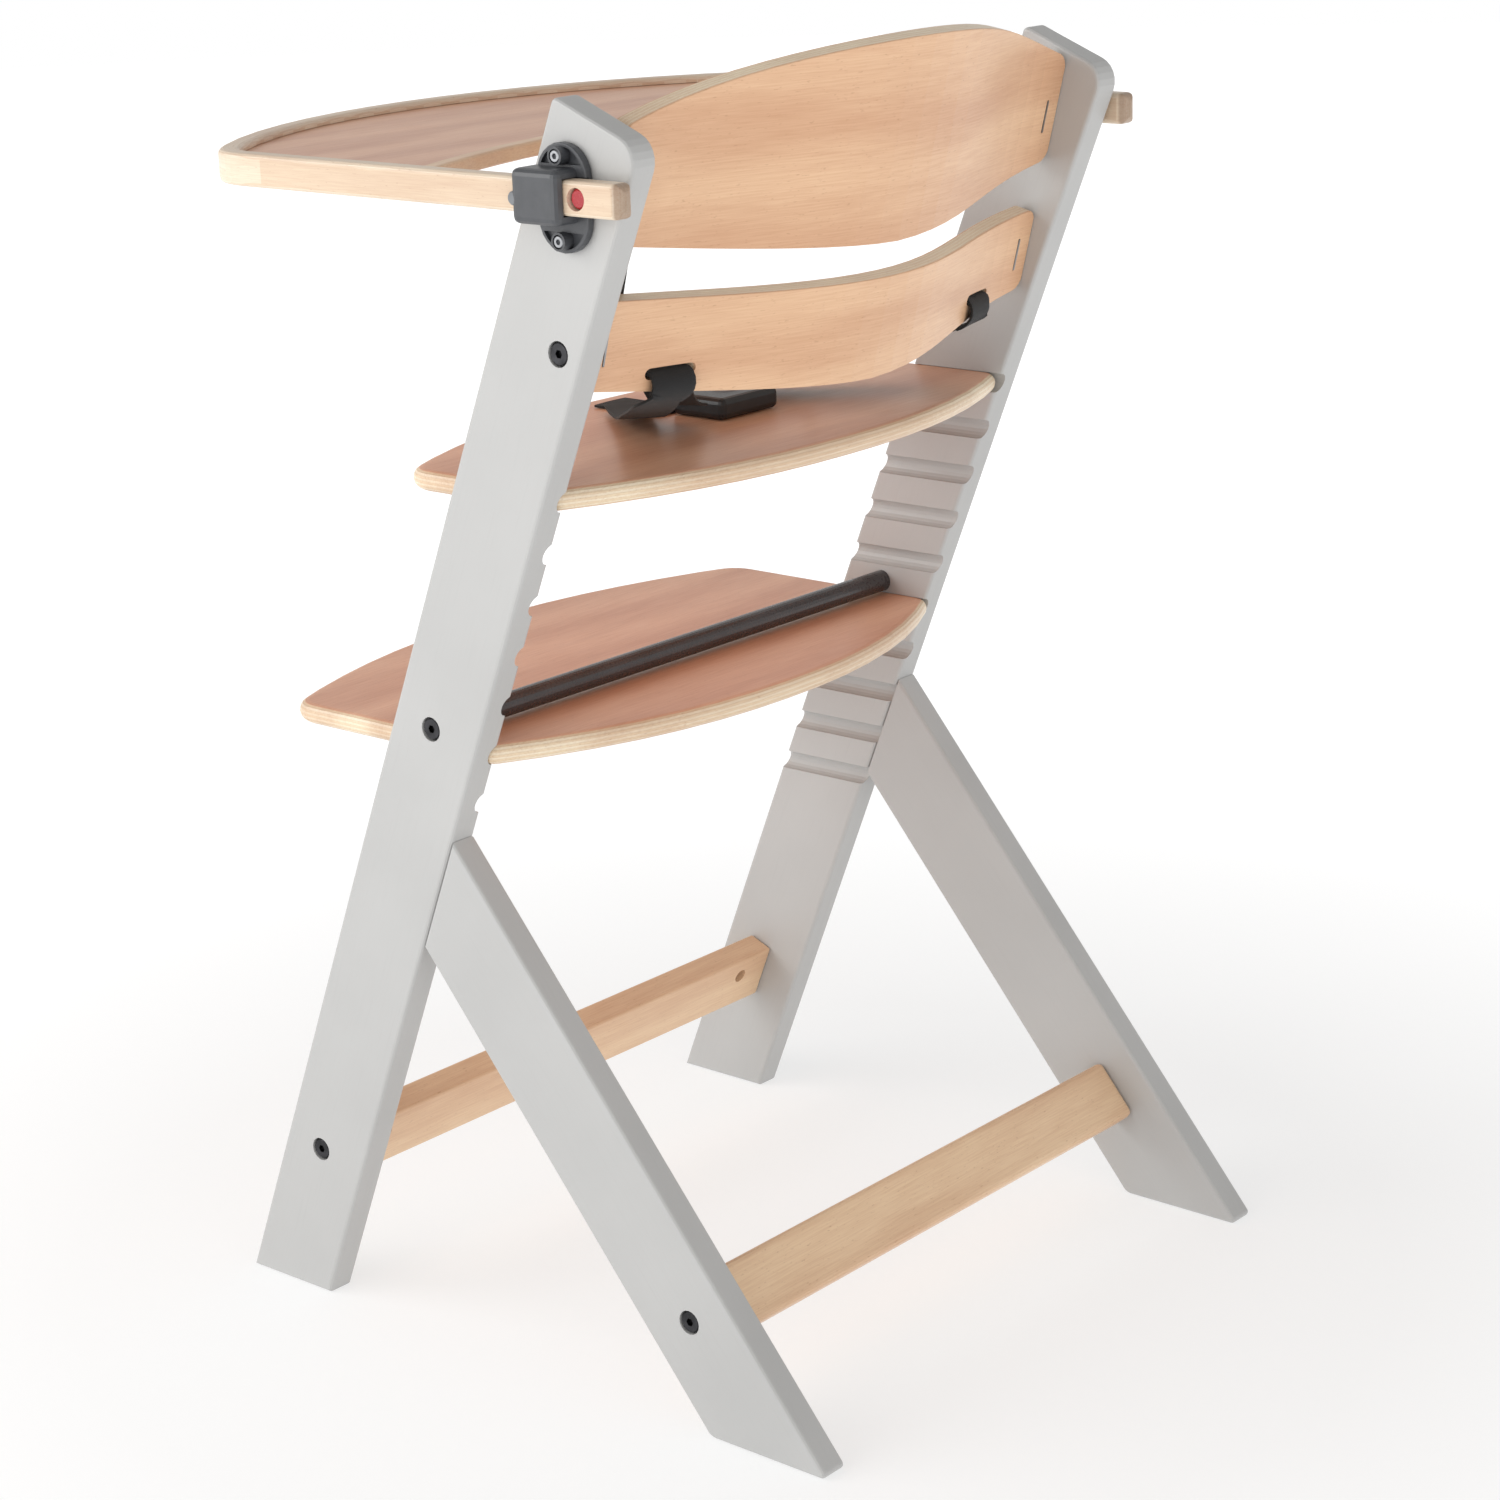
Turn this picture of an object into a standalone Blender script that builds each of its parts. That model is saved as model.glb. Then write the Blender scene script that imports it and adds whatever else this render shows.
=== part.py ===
"""Wooden high chair: two leaning side frames joined by stretchers, a steel bar and two bent
back slats, with a seat and a footrest in grooves, a slide-on tray and a lap harness.

Metres, +Z up. The chair faces -Y, the left side is at +X, and the origin lies on the floor
under the middle of the chair's box.
"""
import math

import bmesh
import bpy
from mathutils import Matrix, Vector

GAP = 0.0003                       # clearance between pieces that touch

# Side frames
FRAME_HALF_WIDTH = 0.233           # to the outer face of a side frame
SIDE_THICKNESS = 0.020
INNER_X = FRAME_HALF_WIDTH - SIDE_THICKNESS
FOOT_FRONT_Y = -0.234
POST_LEAN = math.radians(22.4)
POST_WIDTH = 0.069
POST_LENGTH = 0.868
POST_TOP_RADII = (0.016, 0.004)    # rear corner, front corner
SIDE_EDGE_RADIUS = 0.0025
LEG_WIDTH = 0.071
LEG_SLOPE = math.radians(50.1)
LEG_JOINT_HEIGHT = 0.400           # along the post, where the leg's back edge meets it
LEG_TOE_RADII = (0.008, 0.003)     # front, rear
DOWEL_RADIUS = 0.004
DOWEL_LENGTH = 0.040
DOWEL_HEIGHTS = (0.342, 0.376)     # along the post

# Shelf grooves
GROOVE_COUNT = 10
GROOVE_TOP_Z = 0.5650
GROOVE_PITCH = 0.03315
GROOVE_RADIUS = 0.0068
FOOTREST_GROOVE = 5

# Seat and footrest plates: front, front corner, back corner and back as Y
PLATE_THICKNESS = 0.013
PLATE_HALF_WIDTH = 0.2192
SEAT_OUTLINE = (-0.104, -0.052, 0.068, 0.117)
FOOTREST_OUTLINE = (-0.219, -0.170, 0.006, 0.064)
PLATE_FRONT_RADIUS = 0.024
PLATE_BACK_RADIUS = 0.012

# Cross pieces, placed along and across the post, or along and across the leg
BAR_RADIUS = 0.0075
BAR_PLACE = (0.461, 0.031)
FRONT_STRETCHER = (0.020, 0.043)
FRONT_STRETCHER_PLACE = (0.1195, 0.031)
FRONT_BOLT_RISE = 0.006
REAR_STRETCHER = (0.0195, 0.042)
REAR_STRETCHER_PLACE = (0.324, 0.0345)

# Back slats
SLAT_THICKNESS = 0.012
SLAT_HALF = INNER_X - GAP
SLAT_LEAN = 0.26                   # rearward per metre of height
SLAT_BASE = (0.0995, 0.684)        # Y and Z of the middle surface at a slat's end
SLAT_BULGE = 0.048
SLAT_CORNER = 0.008
SLAT_EDGE_RADIUS = 0.0042
UPPER_SLAT = (0.7185, 0.6965, 0.785, 0.8205)   # bottom end and middle, top end and middle
LOWER_SLAT = (0.633, 0.6107, 0.686, 0.675)
SLAT_BOTTOM_POWER = 1.45
NUT_SLOT_INSET = 0.013
NUT_SLOT = (0.0020, 0.022)
WEB_SLOT = (0.034, 0.007)
WEB_SLOT_PLACE = (0.150, 0.635)

# Tray
TRAY_TOP_Z = 0.759
TRAY_BOTTOM_Z = 0.739
TRAY_MID_Z = (TRAY_TOP_Z + TRAY_BOTTOM_Z) / 2
HOOP_OUTER_X = 0.250
HOOP_THICKNESS = 0.0135
HOOP_END_Y = 0.160
HOOP_CORNER_Y = -0.171
HOOP_FRONT_Y = -0.266
HOOP_CORNER_RADIUS = 0.045
ARM_END_RADIUS = 0.0065            # of an arm's end, seen from the side
PANEL_Z = (0.7490, 0.7540)
PANEL_TONGUE = 0.004
RIM_Z = (0.7470, 0.7568)
RIM_WIDTH = 0.012
RIM_END_Y = -0.006
RIM_MIDDLE_Y = -0.053

# Latches that carry the tray's arms
LATCH_Y = 0.1066
LATCH_Z = 0.747
LATCH_BASE = (0.038, 0.062, 0.0052)
LATCH_RIM_WIDTH = 0.0022
LATCH_FLOOR = 0.0025
DISH_START = 0.0190                # above and below the latch's middle
LATCH_SCREW_RISE = 0.0238
LATCH_BOSS_RADIUS = 0.0053
LATCH_BOSS_X = 0.2435
SLEEVE_Y = (0.083, 0.1185)
SLEEVE_OUTER_X = 0.256
SLEEVE_Z = (0.7334, 0.7646)
SLEEVE_CLEARANCE = 0.0005
BUTTON_Y = 0.1275
BUTTON_HOLE_RADIUS = 0.0065
BUTTON_RADIUS = 0.0059
BUTTON_TRAVEL = 0.003
STOP_PIN_Y = 0.0812
STOP_PIN_RADIUS = 0.004

# Fasteners
BOLT_HEAD_RADIUS = 0.0070
BOLT_HEAD_HEIGHT = 0.0036
BOLT_SHANK_RADIUS = 0.0030
COUNTERBORE_RADIUS = 0.0078
COUNTERBORE_DEPTH = 0.0046
CLEAR_HOLE_RADIUS = 0.0035
BARREL_RADIUS = 0.005
BARREL_SUNK = 0.0055

# Harness
WEB_WIDTH = 0.030
WEB_THICKNESS = 0.0018
SEAT_TOP_Z = GROOVE_TOP_Z + PLATE_THICKNESS / 2
SHOULDER_STRAP_X = 0.192
SHOULDER_STRAP_WIDTH = 0.030
SHOULDER_STRAP_Z = (0.650, 0.675, 0.700, 0.725)
BUCKLE_CENTRE = (-0.018, -0.001)
BUCKLE_SIZE = (0.056, 0.044, 0.0140)
CROTCH_STRAP = (0.004, -0.082, -0.0245)   # X, front end and rear end

SIDES = (("left", 1), ("right", -1))

# Sketch planes: a flat outline drawn in local XY stands in the world's YZ plane
SIDE_PLANE = Matrix(((0, 0, 1, 0), (1, 0, 0, 0), (0, 1, 0, 0), (0, 0, 0, 1)))


def clear_scene():
    for obj in list(bpy.data.objects):
        bpy.data.objects.remove(obj, do_unlink=True)


def make_collection(name):
    collection = bpy.data.collections.new(name)
    bpy.context.scene.collection.children.link(collection)
    return collection


def material(name, colour, roughness, metallic=0.0):
    made = bpy.data.materials.new(name)
    made.use_nodes = True
    shader = made.node_tree.nodes["Principled BSDF"]
    shader.inputs["Base Color"].default_value = (*colour, 1.0)
    shader.inputs["Roughness"].default_value = roughness
    shader.inputs["Metallic"].default_value = metallic
    return made


def add_object(name, mesh, look=None):
    """Links a mesh as a part, or as a cutter when it has no material."""
    obj = bpy.data.objects.new(name, mesh)
    if look is None:
        CUTTERS.objects.link(obj)
        obj.hide_render = True
        obj.display_type = "WIRE"
    else:
        PARTS.objects.link(obj)
        if not mesh.materials:
            mesh.materials.append(look)
    return obj


def smooth(mesh, angle=35):
    mesh.shade_smooth()
    mesh.set_sharp_from_angle(angle=math.radians(angle))


def freeze(obj):
    """Returns the evaluated mesh in world space and removes the object."""
    depsgraph = bpy.context.evaluated_depsgraph_get()
    mesh = bpy.data.meshes.new_from_object(obj.evaluated_get(depsgraph))
    mesh.transform(obj.matrix_world)
    bm = bmesh.new()
    bm.from_mesh(mesh)
    bmesh.ops.remove_doubles(bm, verts=bm.verts, dist=0.000005)
    bm.to_mesh(mesh)
    bm.free()
    bpy.data.objects.remove(obj, do_unlink=True)
    return mesh


def cut(obj, cutters, operation="DIFFERENCE"):
    for cutter in cutters:
        modifier = obj.modifiers.new(cutter.name, "BOOLEAN")
        modifier.operation = operation
        modifier.object = cutter


def bevel(obj, width, segments=3, angle=40):
    modifier = obj.modifiers.new("round edges", "BEVEL")
    modifier.width = width
    modifier.segments = segments
    modifier.limit_method = "ANGLE"
    modifier.angle_limit = math.radians(angle)


def round_corners(points, radii, steps=6):
    """Replaces each corner of a closed outline by an arc of its radius (0 keeps it sharp)."""
    outline = []
    for index, (corner, radius) in enumerate(zip(points, radii)):
        here = Vector(corner)
        if radius == 0:
            outline.append(here)
            continue
        back = (Vector(points[index - 1]) - here).normalized()
        ahead = (Vector(points[(index + 1) % len(points)]) - here).normalized()
        half = back.angle(ahead) / 2
        centre = here + (back + ahead).normalized() * radius / math.sin(half)
        reach = radius / math.tan(half)
        start = here + back * reach - centre
        end = here + ahead * reach - centre
        turn = start.angle_signed(end)
        for step in range(steps + 1):
            spoke = Matrix.Rotation(-turn * step / steps, 2) @ start
            outline.append(centre + spoke)
    return outline


def prism(name, outline, thickness, edge=0.0, plane=None, centre=(0, 0, 0), rings=2):
    """A flat outline, extruded by its thickness, with its rims rounded by edge."""
    curve = bpy.data.curves.new(name, "CURVE")
    curve.dimensions = "2D"
    curve.fill_mode = "BOTH"
    curve.extrude = thickness / 2 - edge
    curve.bevel_depth = edge
    curve.bevel_resolution = rings
    curve.offset = -edge
    spline = curve.splines.new("POLY")
    spline.points.add(len(outline) - 1)
    for point, (x, y) in zip(spline.points, outline):
        point.co = (x, y, 0, 1)
    spline.use_cyclic_u = True
    obj = bpy.data.objects.new(name, curve)
    bpy.context.scene.collection.objects.link(obj)
    obj.matrix_world = Matrix.Translation(centre) @ (plane or Matrix.Identity(4))
    bpy.context.view_layer.update()
    return freeze(obj)


def rod(radius, start, end, segments=16):
    """A cylinder mesh between two points."""
    start, end = Vector(start), Vector(end)
    axis = end - start
    mesh = bpy.data.meshes.new("rod")
    bm = bmesh.new()
    turn = Vector((0, 0, 1)).rotation_difference(axis).to_matrix().to_4x4()
    place = Matrix.Translation((start + end) / 2) @ turn
    bmesh.ops.create_cone(bm, cap_ends=True, segments=segments, radius1=radius,
                          radius2=radius, depth=axis.length, matrix=place)
    bm.to_mesh(mesh)
    bm.free()
    return mesh


def block(size, place):
    """A box mesh of a size, under a matrix."""
    mesh = bpy.data.meshes.new("block")
    bm = bmesh.new()
    bmesh.ops.create_cube(bm, size=1.0, matrix=place @ Matrix.Diagonal((*size, 1)))
    bm.to_mesh(mesh)
    bm.free()
    return mesh


def turned(name, profile, segments=16):
    """A profile of (radius, height) points, top to bottom, turned around Z."""
    mesh = bpy.data.meshes.new(name)
    bm = bmesh.new()
    verts = [bm.verts.new((radius, 0, height)) for radius, height in profile]
    for first, second in zip(verts, verts[1:]):
        bm.edges.new((first, second))
    bm.to_mesh(mesh)
    bm.free()
    obj = bpy.data.objects.new(name, mesh)
    bpy.context.scene.collection.objects.link(obj)
    screw = obj.modifiers.new("turn", "SCREW")
    screw.steps = segments
    screw.render_steps = segments
    screw.use_merge_vertices = True
    screw.merge_threshold = 0.00001
    return freeze(obj)


def along_x(sign, x, y, z):
    """A matrix that turns local +Z outward along X on one side of the chair."""
    turn = Matrix.Rotation(math.radians(90) * sign, 4, "Y")
    return Matrix.Translation((x * sign, y, z)) @ turn


def post_point(along, across):
    """Y and Z of a place along the post from its front toe, and across it to the rear."""
    sine, cosine = math.sin(POST_LEAN), math.cos(POST_LEAN)
    return (FOOT_FRONT_Y + along * sine + across * cosine, along * cosine - across * sine)


def leg_point(along, below):
    """Y and Z of a place down the leg from the joint, and below its back edge."""
    top = Vector(post_point(LEG_JOINT_HEIGHT, POST_WIDTH))
    down = Vector((math.cos(LEG_SLOPE), -math.sin(LEG_SLOPE)))
    under = Vector((-math.sin(LEG_SLOPE), -math.cos(LEG_SLOPE)))
    return tuple(top + down * along + under * below)


def groove_z(index):
    return GROOVE_TOP_Z - GROOVE_PITCH * index


def slat_surface(x, z):
    """Y of a slat's middle surface."""
    bell = 0.5 * (1 + math.cos(math.pi * min(abs(x) / SLAT_HALF, 1.0)))
    return SLAT_BASE[0] + SLAT_LEAN * (z - SLAT_BASE[1]) + SLAT_BULGE * bell


UPPER_BOLT_Z = 0.748
LOWER_BOLT_Z = 0.657
FRONT_BOLT = post_point(FRONT_STRETCHER_PLACE[0] + FRONT_BOLT_RISE, FRONT_STRETCHER_PLACE[1])
POST_BOLTS = {
    "upper_slat": (slat_surface(SLAT_HALF, UPPER_BOLT_Z), UPPER_BOLT_Z),
    "lower_slat": (slat_surface(SLAT_HALF, LOWER_BOLT_Z), LOWER_BOLT_Z),
    "crossbar": post_point(*BAR_PLACE),
    "front_stretcher": FRONT_BOLT,
}
LEG_BOLTS = {"rear_stretcher": leg_point(*REAR_STRETCHER_PLACE)}
BOLT_REACH = {                     # how far a bolt's end lies from the chair's middle plane
    "upper_slat": INNER_X - NUT_SLOT_INSET - 0.004,
    "lower_slat": INNER_X - NUT_SLOT_INSET - 0.004,
    "crossbar": INNER_X - 0.018,
    "front_stretcher": INNER_X - 0.037,
    "rear_stretcher": INNER_X - 0.037,
}
BARREL_INSET = 0.030


def dowel_axis(height):
    """Ends of a leg dowel as (y, z), square to the post's rear edge."""
    return [post_point(height, POST_WIDTH + step * DOWEL_LENGTH / 2) for step in (-1, 1)]


def bolt_hole_cutters(sign, places):
    cutters = []
    for name, (y, z) in places.items():
        outer = FRAME_HALF_WIDTH * sign
        through = rod(CLEAR_HOLE_RADIUS, (outer + 0.002 * sign, y, z),
                      ((INNER_X - 0.002) * sign, y, z))
        cutters.append(add_object(f"cut_{name}_hole_{sign}", through))
        sink = rod(COUNTERBORE_RADIUS, (outer + 0.002 * sign, y, z),
                   (outer - COUNTERBORE_DEPTH * sign, y, z), 20)
        cutters.append(add_object(f"cut_{name}_sink_{sign}", sink))
    return cutters


def dowel_hole_cutters(sign):
    cutters = []
    for height in DOWEL_HEIGHTS:
        reach = DOWEL_LENGTH / 2 + 0.001
        ends = [post_point(height, POST_WIDTH + step * reach) for step in (-1, 1)]
        x = (FRAME_HALF_WIDTH - SIDE_THICKNESS / 2 + 0.001) * sign
        mesh = rod(DOWEL_RADIUS + GAP, (x, *ends[0]), (x, *ends[1]), 16)
        cutters.append(add_object(f"cut_dowel_{sign}_{height}", mesh))
    return cutters


def make_post(side, sign):
    heel = POST_WIDTH * math.tan(POST_LEAN)
    corners = [post_point(0, 0), post_point(heel, POST_WIDTH),
               post_point(POST_LENGTH, POST_WIDTH), post_point(POST_LENGTH, 0)]
    outline = round_corners(corners, (0, 0, *POST_TOP_RADII))
    x = (FRAME_HALF_WIDTH - SIDE_THICKNESS / 2) * sign
    mesh = prism("post", outline, SIDE_THICKNESS, SIDE_EDGE_RADIUS, SIDE_PLANE, (x, 0, 0))
    post = add_object(f"post_{side}", mesh, PAINT)
    cutters = bolt_hole_cutters(sign, POST_BOLTS) + dowel_hole_cutters(sign)
    for index in range(GROOVE_COUNT):
        z = groove_z(index)
        front = FOOT_FRONT_Y + z * math.tan(POST_LEAN)
        groove = rod(GROOVE_RADIUS, (INNER_X * sign, front - 0.02, z),
                     (INNER_X * sign, front + POST_WIDTH + 0.03, z), 18)
        cutters.append(add_object(f"cut_groove_{index}_{side}", groove))
    for step in (-1, 1):
        z = LATCH_Z + LATCH_SCREW_RISE * step
        hole = rod(0.0023, ((FRAME_HALF_WIDTH + 0.002) * sign, LATCH_Y, z),
                   ((FRAME_HALF_WIDTH - 0.0155) * sign, LATCH_Y, z), 12)
        cutters.append(add_object(f"cut_latch_hole_{step}_{side}", hole))
    cut(post, cutters)


def make_rear_leg(side, sign):
    gap = POST_WIDTH + GAP
    spread = LEG_WIDTH / math.cos(LEG_SLOPE - POST_LEAN)
    back_toe = leg_point(post_point(LEG_JOINT_HEIGHT, POST_WIDTH)[1] / math.sin(LEG_SLOPE), 0)
    front_toe = (back_toe[0] - LEG_WIDTH / math.sin(LEG_SLOPE), 0)
    corners = [front_toe, back_toe, post_point(LEG_JOINT_HEIGHT, gap),
               post_point(LEG_JOINT_HEIGHT - spread, gap)]
    outline = round_corners(corners, (*LEG_TOE_RADII, 0, 0))
    x = (FRAME_HALF_WIDTH - SIDE_THICKNESS / 2) * sign
    mesh = prism("leg", outline, SIDE_THICKNESS, SIDE_EDGE_RADIUS, SIDE_PLANE, (x, 0, 0))
    leg = add_object(f"rear_leg_{side}", mesh, PAINT)
    cut(leg, bolt_hole_cutters(sign, LEG_BOLTS) + dowel_hole_cutters(sign))


def make_dowels(side, sign):
    x = (FRAME_HALF_WIDTH - SIDE_THICKNESS / 2 + 0.001) * sign
    for name, height in zip(("lower", "upper"), DOWEL_HEIGHTS):
        ends = dowel_axis(height)
        dowel = rod(DOWEL_RADIUS, (x, *ends[0]), (x, *ends[1]), 16)
        smooth(dowel)
        add_object(f"leg_dowel_{name}_{side}", dowel, BEECH)


def make_bolt(name, sign, y, z, end_x):
    """A countersunk socket bolt: flat head inside its counterbore, shank towards the middle."""
    face = FRAME_HALF_WIDTH - 0.0006
    length = face - BOLT_HEAD_HEIGHT - end_x
    profile = [(0, 0), (BOLT_HEAD_RADIUS - 0.0008, 0), (BOLT_HEAD_RADIUS, -0.0008),
               (BOLT_HEAD_RADIUS, -BOLT_HEAD_HEIGHT), (BOLT_SHANK_RADIUS, -BOLT_HEAD_HEIGHT),
               (BOLT_SHANK_RADIUS, -BOLT_HEAD_HEIGHT - length + 0.001),
               (BOLT_SHANK_RADIUS - 0.001, -BOLT_HEAD_HEIGHT - length),
               (0, -BOLT_HEAD_HEIGHT - length)]
    mesh = turned(name, profile)
    smooth(mesh)
    bolt = add_object(name, mesh, BLACK_STEEL)
    bolt.matrix_world = along_x(sign, face, y, z)
    socket = add_object(f"cut_socket_{name}", rod(0.0027, (0, 0, -0.0026), (0, 0, 0.001), 6))
    socket.matrix_world = bolt.matrix_world
    cut(bolt, [socket])


def make_bolts(side, sign):
    for name, (y, z) in {**POST_BOLTS, **LEG_BOLTS}.items():
        make_bolt(f"{name}_bolt_{side}", sign, y, z, BOLT_REACH[name])


def make_crossbar():
    y, z = post_point(*BAR_PLACE)
    mesh = rod(BAR_RADIUS, (-INNER_X + GAP, y, z), (INNER_X - GAP, y, z), 24)
    smooth(mesh)
    bar = add_object("crossbar", mesh, BLACK_STEEL)
    cutters = []
    for side, sign in SIDES:
        hole = rod(CLEAR_HOLE_RADIUS, ((INNER_X + 0.01) * sign, y, z),
                   ((INNER_X - 0.022) * sign, y, z))
        cutters.append(add_object(f"cut_bar_{side}", hole))
    cut(bar, cutters)


def make_stretcher(name, size, centre, tilt, bolt, edge, open_side):
    """A beech rail between the side frames with a barrel nut near each end, let in from
    the rail's rear face (1) or its front face (-1)."""
    place = Matrix.Translation((0, *centre)) @ Matrix.Rotation(tilt, 4, "X")
    mesh = block(((INNER_X - GAP) * 2, *size), place)
    rail = add_object(name, mesh, BEECH)
    bevel(rail, edge)
    across = (place.to_3x3() @ Vector((0, open_side, 0))).normalized()
    cutters = []
    for side, sign in SIDES:
        hole = rod(CLEAR_HOLE_RADIUS, ((INNER_X + 0.01) * sign, *bolt),
                   ((INNER_X - 0.042) * sign, *bolt))
        cutters.append(add_object(f"cut_{name}_bolt_{side}", hole))
        middle = Vector(((INNER_X - BARREL_INSET) * sign, *bolt))
        nut_hole = rod(BARREL_RADIUS + GAP, middle - across * (size[0] / 2 - 0.002),
                       middle + across * 0.02)
        cutters.append(add_object(f"cut_{name}_nut_{side}", nut_hole))
        nut = rod(BARREL_RADIUS, middle - across * (size[0] / 2 - 0.0025),
                  middle + across * (size[0] / 2 - BARREL_SUNK))
        smooth(nut)
        barrel = add_object(f"{name}_barrel_nut_{side}", nut, STEEL)
        thread = rod(BOLT_SHANK_RADIUS + GAP, middle - Vector((0.02, 0, 0)),
                     middle + Vector((0.02, 0, 0)))
        cut(barrel, [add_object(f"cut_{name}_thread_{side}", thread)])
    cut(rail, cutters)


def plate_outline(front, front_corner, back_corner, back):
    """Closed XY outline with bowed front and back edges and straight sides."""
    width = PLATE_HALF_WIDTH
    count = 14
    points, radii = [], []
    for step in range(count + 1):
        t = 2 * step / count - 1
        points.append((width * t, front + (front_corner - front) * t * t))
        radii.append(PLATE_FRONT_RADIUS if abs(t) == 1 else 0)
    for step in range(count + 1):
        t = 1 - 2 * step / count
        points.append((width * t, back - (back - back_corner) * abs(t) ** 2.2))
        radii.append(PLATE_BACK_RADIUS if abs(t) == 1 else 0)
    return round_corners(points, radii, 5)


def make_plate(name, shape, z):
    edge = PLATE_THICKNESS / 2 - 0.0003
    mesh = prism(name, plate_outline(*shape), PLATE_THICKNESS, edge, None, (0, 0, z), 3)
    smooth(mesh)
    add_object(name, mesh, PLATE_WOOD)


def slat_stations():
    """X positions from end to end, close together where the end corners are rounded."""
    inner = SLAT_HALF - SLAT_CORNER
    corner = [inner + SLAT_CORNER * math.sin(math.radians(90 * k / 4)) for k in (4, 3, 2, 1, 0)]
    run = [inner * (1 - step / 11) for step in range(1, 12)]
    half = corner + run
    return [-x for x in half] + [x for x in reversed(half[:-1])]


def corner_drop(x):
    """How far a rounded end corner falls short of the slat's full height."""
    into = abs(x) - (SLAT_HALF - SLAT_CORNER)
    if into <= 0:
        return 0.0
    return SLAT_CORNER - math.sqrt(max(SLAT_CORNER ** 2 - into ** 2, 0.0))


def make_slat(name, heights, web_slots):
    low_end, low_middle, high_end, high_middle = heights
    mesh = bpy.data.meshes.new(name)
    bm = bmesh.new()
    columns = []
    for x in slat_stations():
        u = abs(x) / SLAT_HALF
        low = low_middle + (low_end - low_middle) * u ** SLAT_BOTTOM_POWER + corner_drop(x)
        high = high_middle + (high_end - high_middle) * u ** 2 - corner_drop(x)
        columns.append([bm.verts.new((x, slat_surface(x, z), z)) for z in (low, high)])
    for left, right in zip(columns, columns[1:]):
        bm.faces.new((left[0], right[0], right[1], left[1]))
    bm.to_mesh(mesh)
    bm.free()
    slat = bpy.data.objects.new(name, mesh)
    bpy.context.scene.collection.objects.link(slat)
    shell = slat.modifiers.new("ply", "SOLIDIFY")
    shell.thickness = SLAT_THICKNESS
    shell.offset = 0
    shell.use_even_offset = True
    bevel(slat, SLAT_EDGE_RADIUS, 2, 50)
    solid = freeze(slat)
    smooth(solid, 40)
    slat = add_object(name, solid, BEECH_PLY)
    cut(slat, slat_cutters(name, (low_end + high_end) / 2, web_slots))


def slat_cutters(name, middle_z, web_slots):
    bolt = POST_BOLTS[name]
    cutters = []
    for side, sign in SIDES:
        hole = rod(CLEAR_HOLE_RADIUS, ((INNER_X + 0.01) * sign, *bolt),
                   ((INNER_X - 0.022) * sign, *bolt))
        cutters.append(add_object(f"cut_{name}_bolt_{side}", hole))
        x = (INNER_X - NUT_SLOT_INSET) * sign
        tilt = Matrix.Rotation(-math.atan(SLAT_LEAN), 4, "X")
        place = Matrix.Translation((x, *bolt)) @ tilt
        slot = block((NUT_SLOT[0], 0.010, NUT_SLOT[1]), place @ Matrix.Translation((0, 0.003, 0)))
        cutters.append(add_object(f"cut_{name}_nut_slot_{side}", slot))
        make_nut_plate(f"{name}_nut_{side}", place, sign, bolt)
        if web_slots:
            cutters.append(web_slot_cutter(side, sign))
    return cutters


def web_slot_cutter(side, sign):
    x, z = WEB_SLOT_PLACE
    turn = Matrix.Rotation(math.radians(90), 4, "X")
    opening = prism("slot", stadium(*WEB_SLOT), 0.06, 0.0, turn, (x * sign, slat_surface(x, z), z))
    return add_object(f"cut_web_slot_{side}", opening)


def make_nut_plate(name, place, sign, bolt):
    mesh = block((NUT_SLOT[0] - 2 * GAP, 0.0085, NUT_SLOT[1] - 0.001),
                 place @ Matrix.Translation((0, 0.0027, 0)))
    nut = add_object(name, mesh, STEEL)
    thread = rod(BOLT_SHANK_RADIUS + GAP, ((INNER_X + 0.01) * sign, *bolt),
                 ((INNER_X - 0.03) * sign, *bolt))
    cut(nut, [add_object(f"cut_{name}_thread", thread)])


def stadium(length, height, steps=8):
    """An outline with round ends, longer along X."""
    radius = height / 2
    points = []
    for end in (1, -1):
        for step in range(steps + 1):
            angle = math.radians(-90 + 180 * step / steps)
            points.append((end * (length / 2 - radius + radius * math.cos(angle)),
                           end * radius * math.sin(angle)))
    return points


def hoop_path(inset, end_y):
    """The hoop's outer face in plan, moved inwards by an inset, from the left end to the right."""
    half = HOOP_OUTER_X
    depth = HOOP_CORNER_Y - HOOP_FRONT_Y
    radius = (half ** 2 + depth ** 2) / (2 * depth)
    centre_y = HOOP_FRONT_Y + radius
    arc = radius - inset
    edge_x = half - inset
    turn = math.asin(edge_x / arc)
    count = 16
    front = []
    for step in range(count + 1):
        angle = turn * (1 - 2 * step / count)
        front.append((arc * math.sin(angle), centre_y - arc * math.cos(angle)))
    points = [(edge_x, end_y)] + front + [(-edge_x, end_y)]
    radii = [0] * len(points)
    radii[1] = radii[-2] = HOOP_CORNER_RADIUS - inset
    return merge_corner(points, radii)


def merge_corner(points, radii):
    """Rounds the two front corners, dropping the arc points that the rounding passes over."""
    reach = HOOP_CORNER_RADIUS * 0.55
    corners = (Vector(points[1]), Vector(points[-2]))
    kept, kept_radii = [], []
    for point, radius in zip(points, radii):
        near = min((Vector(point) - corner).length for corner in corners)
        if radius == 0 and near < reach:
            continue
        kept.append(point)
        kept_radii.append(radius)
    return round_corners(kept, kept_radii, 6)


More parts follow.
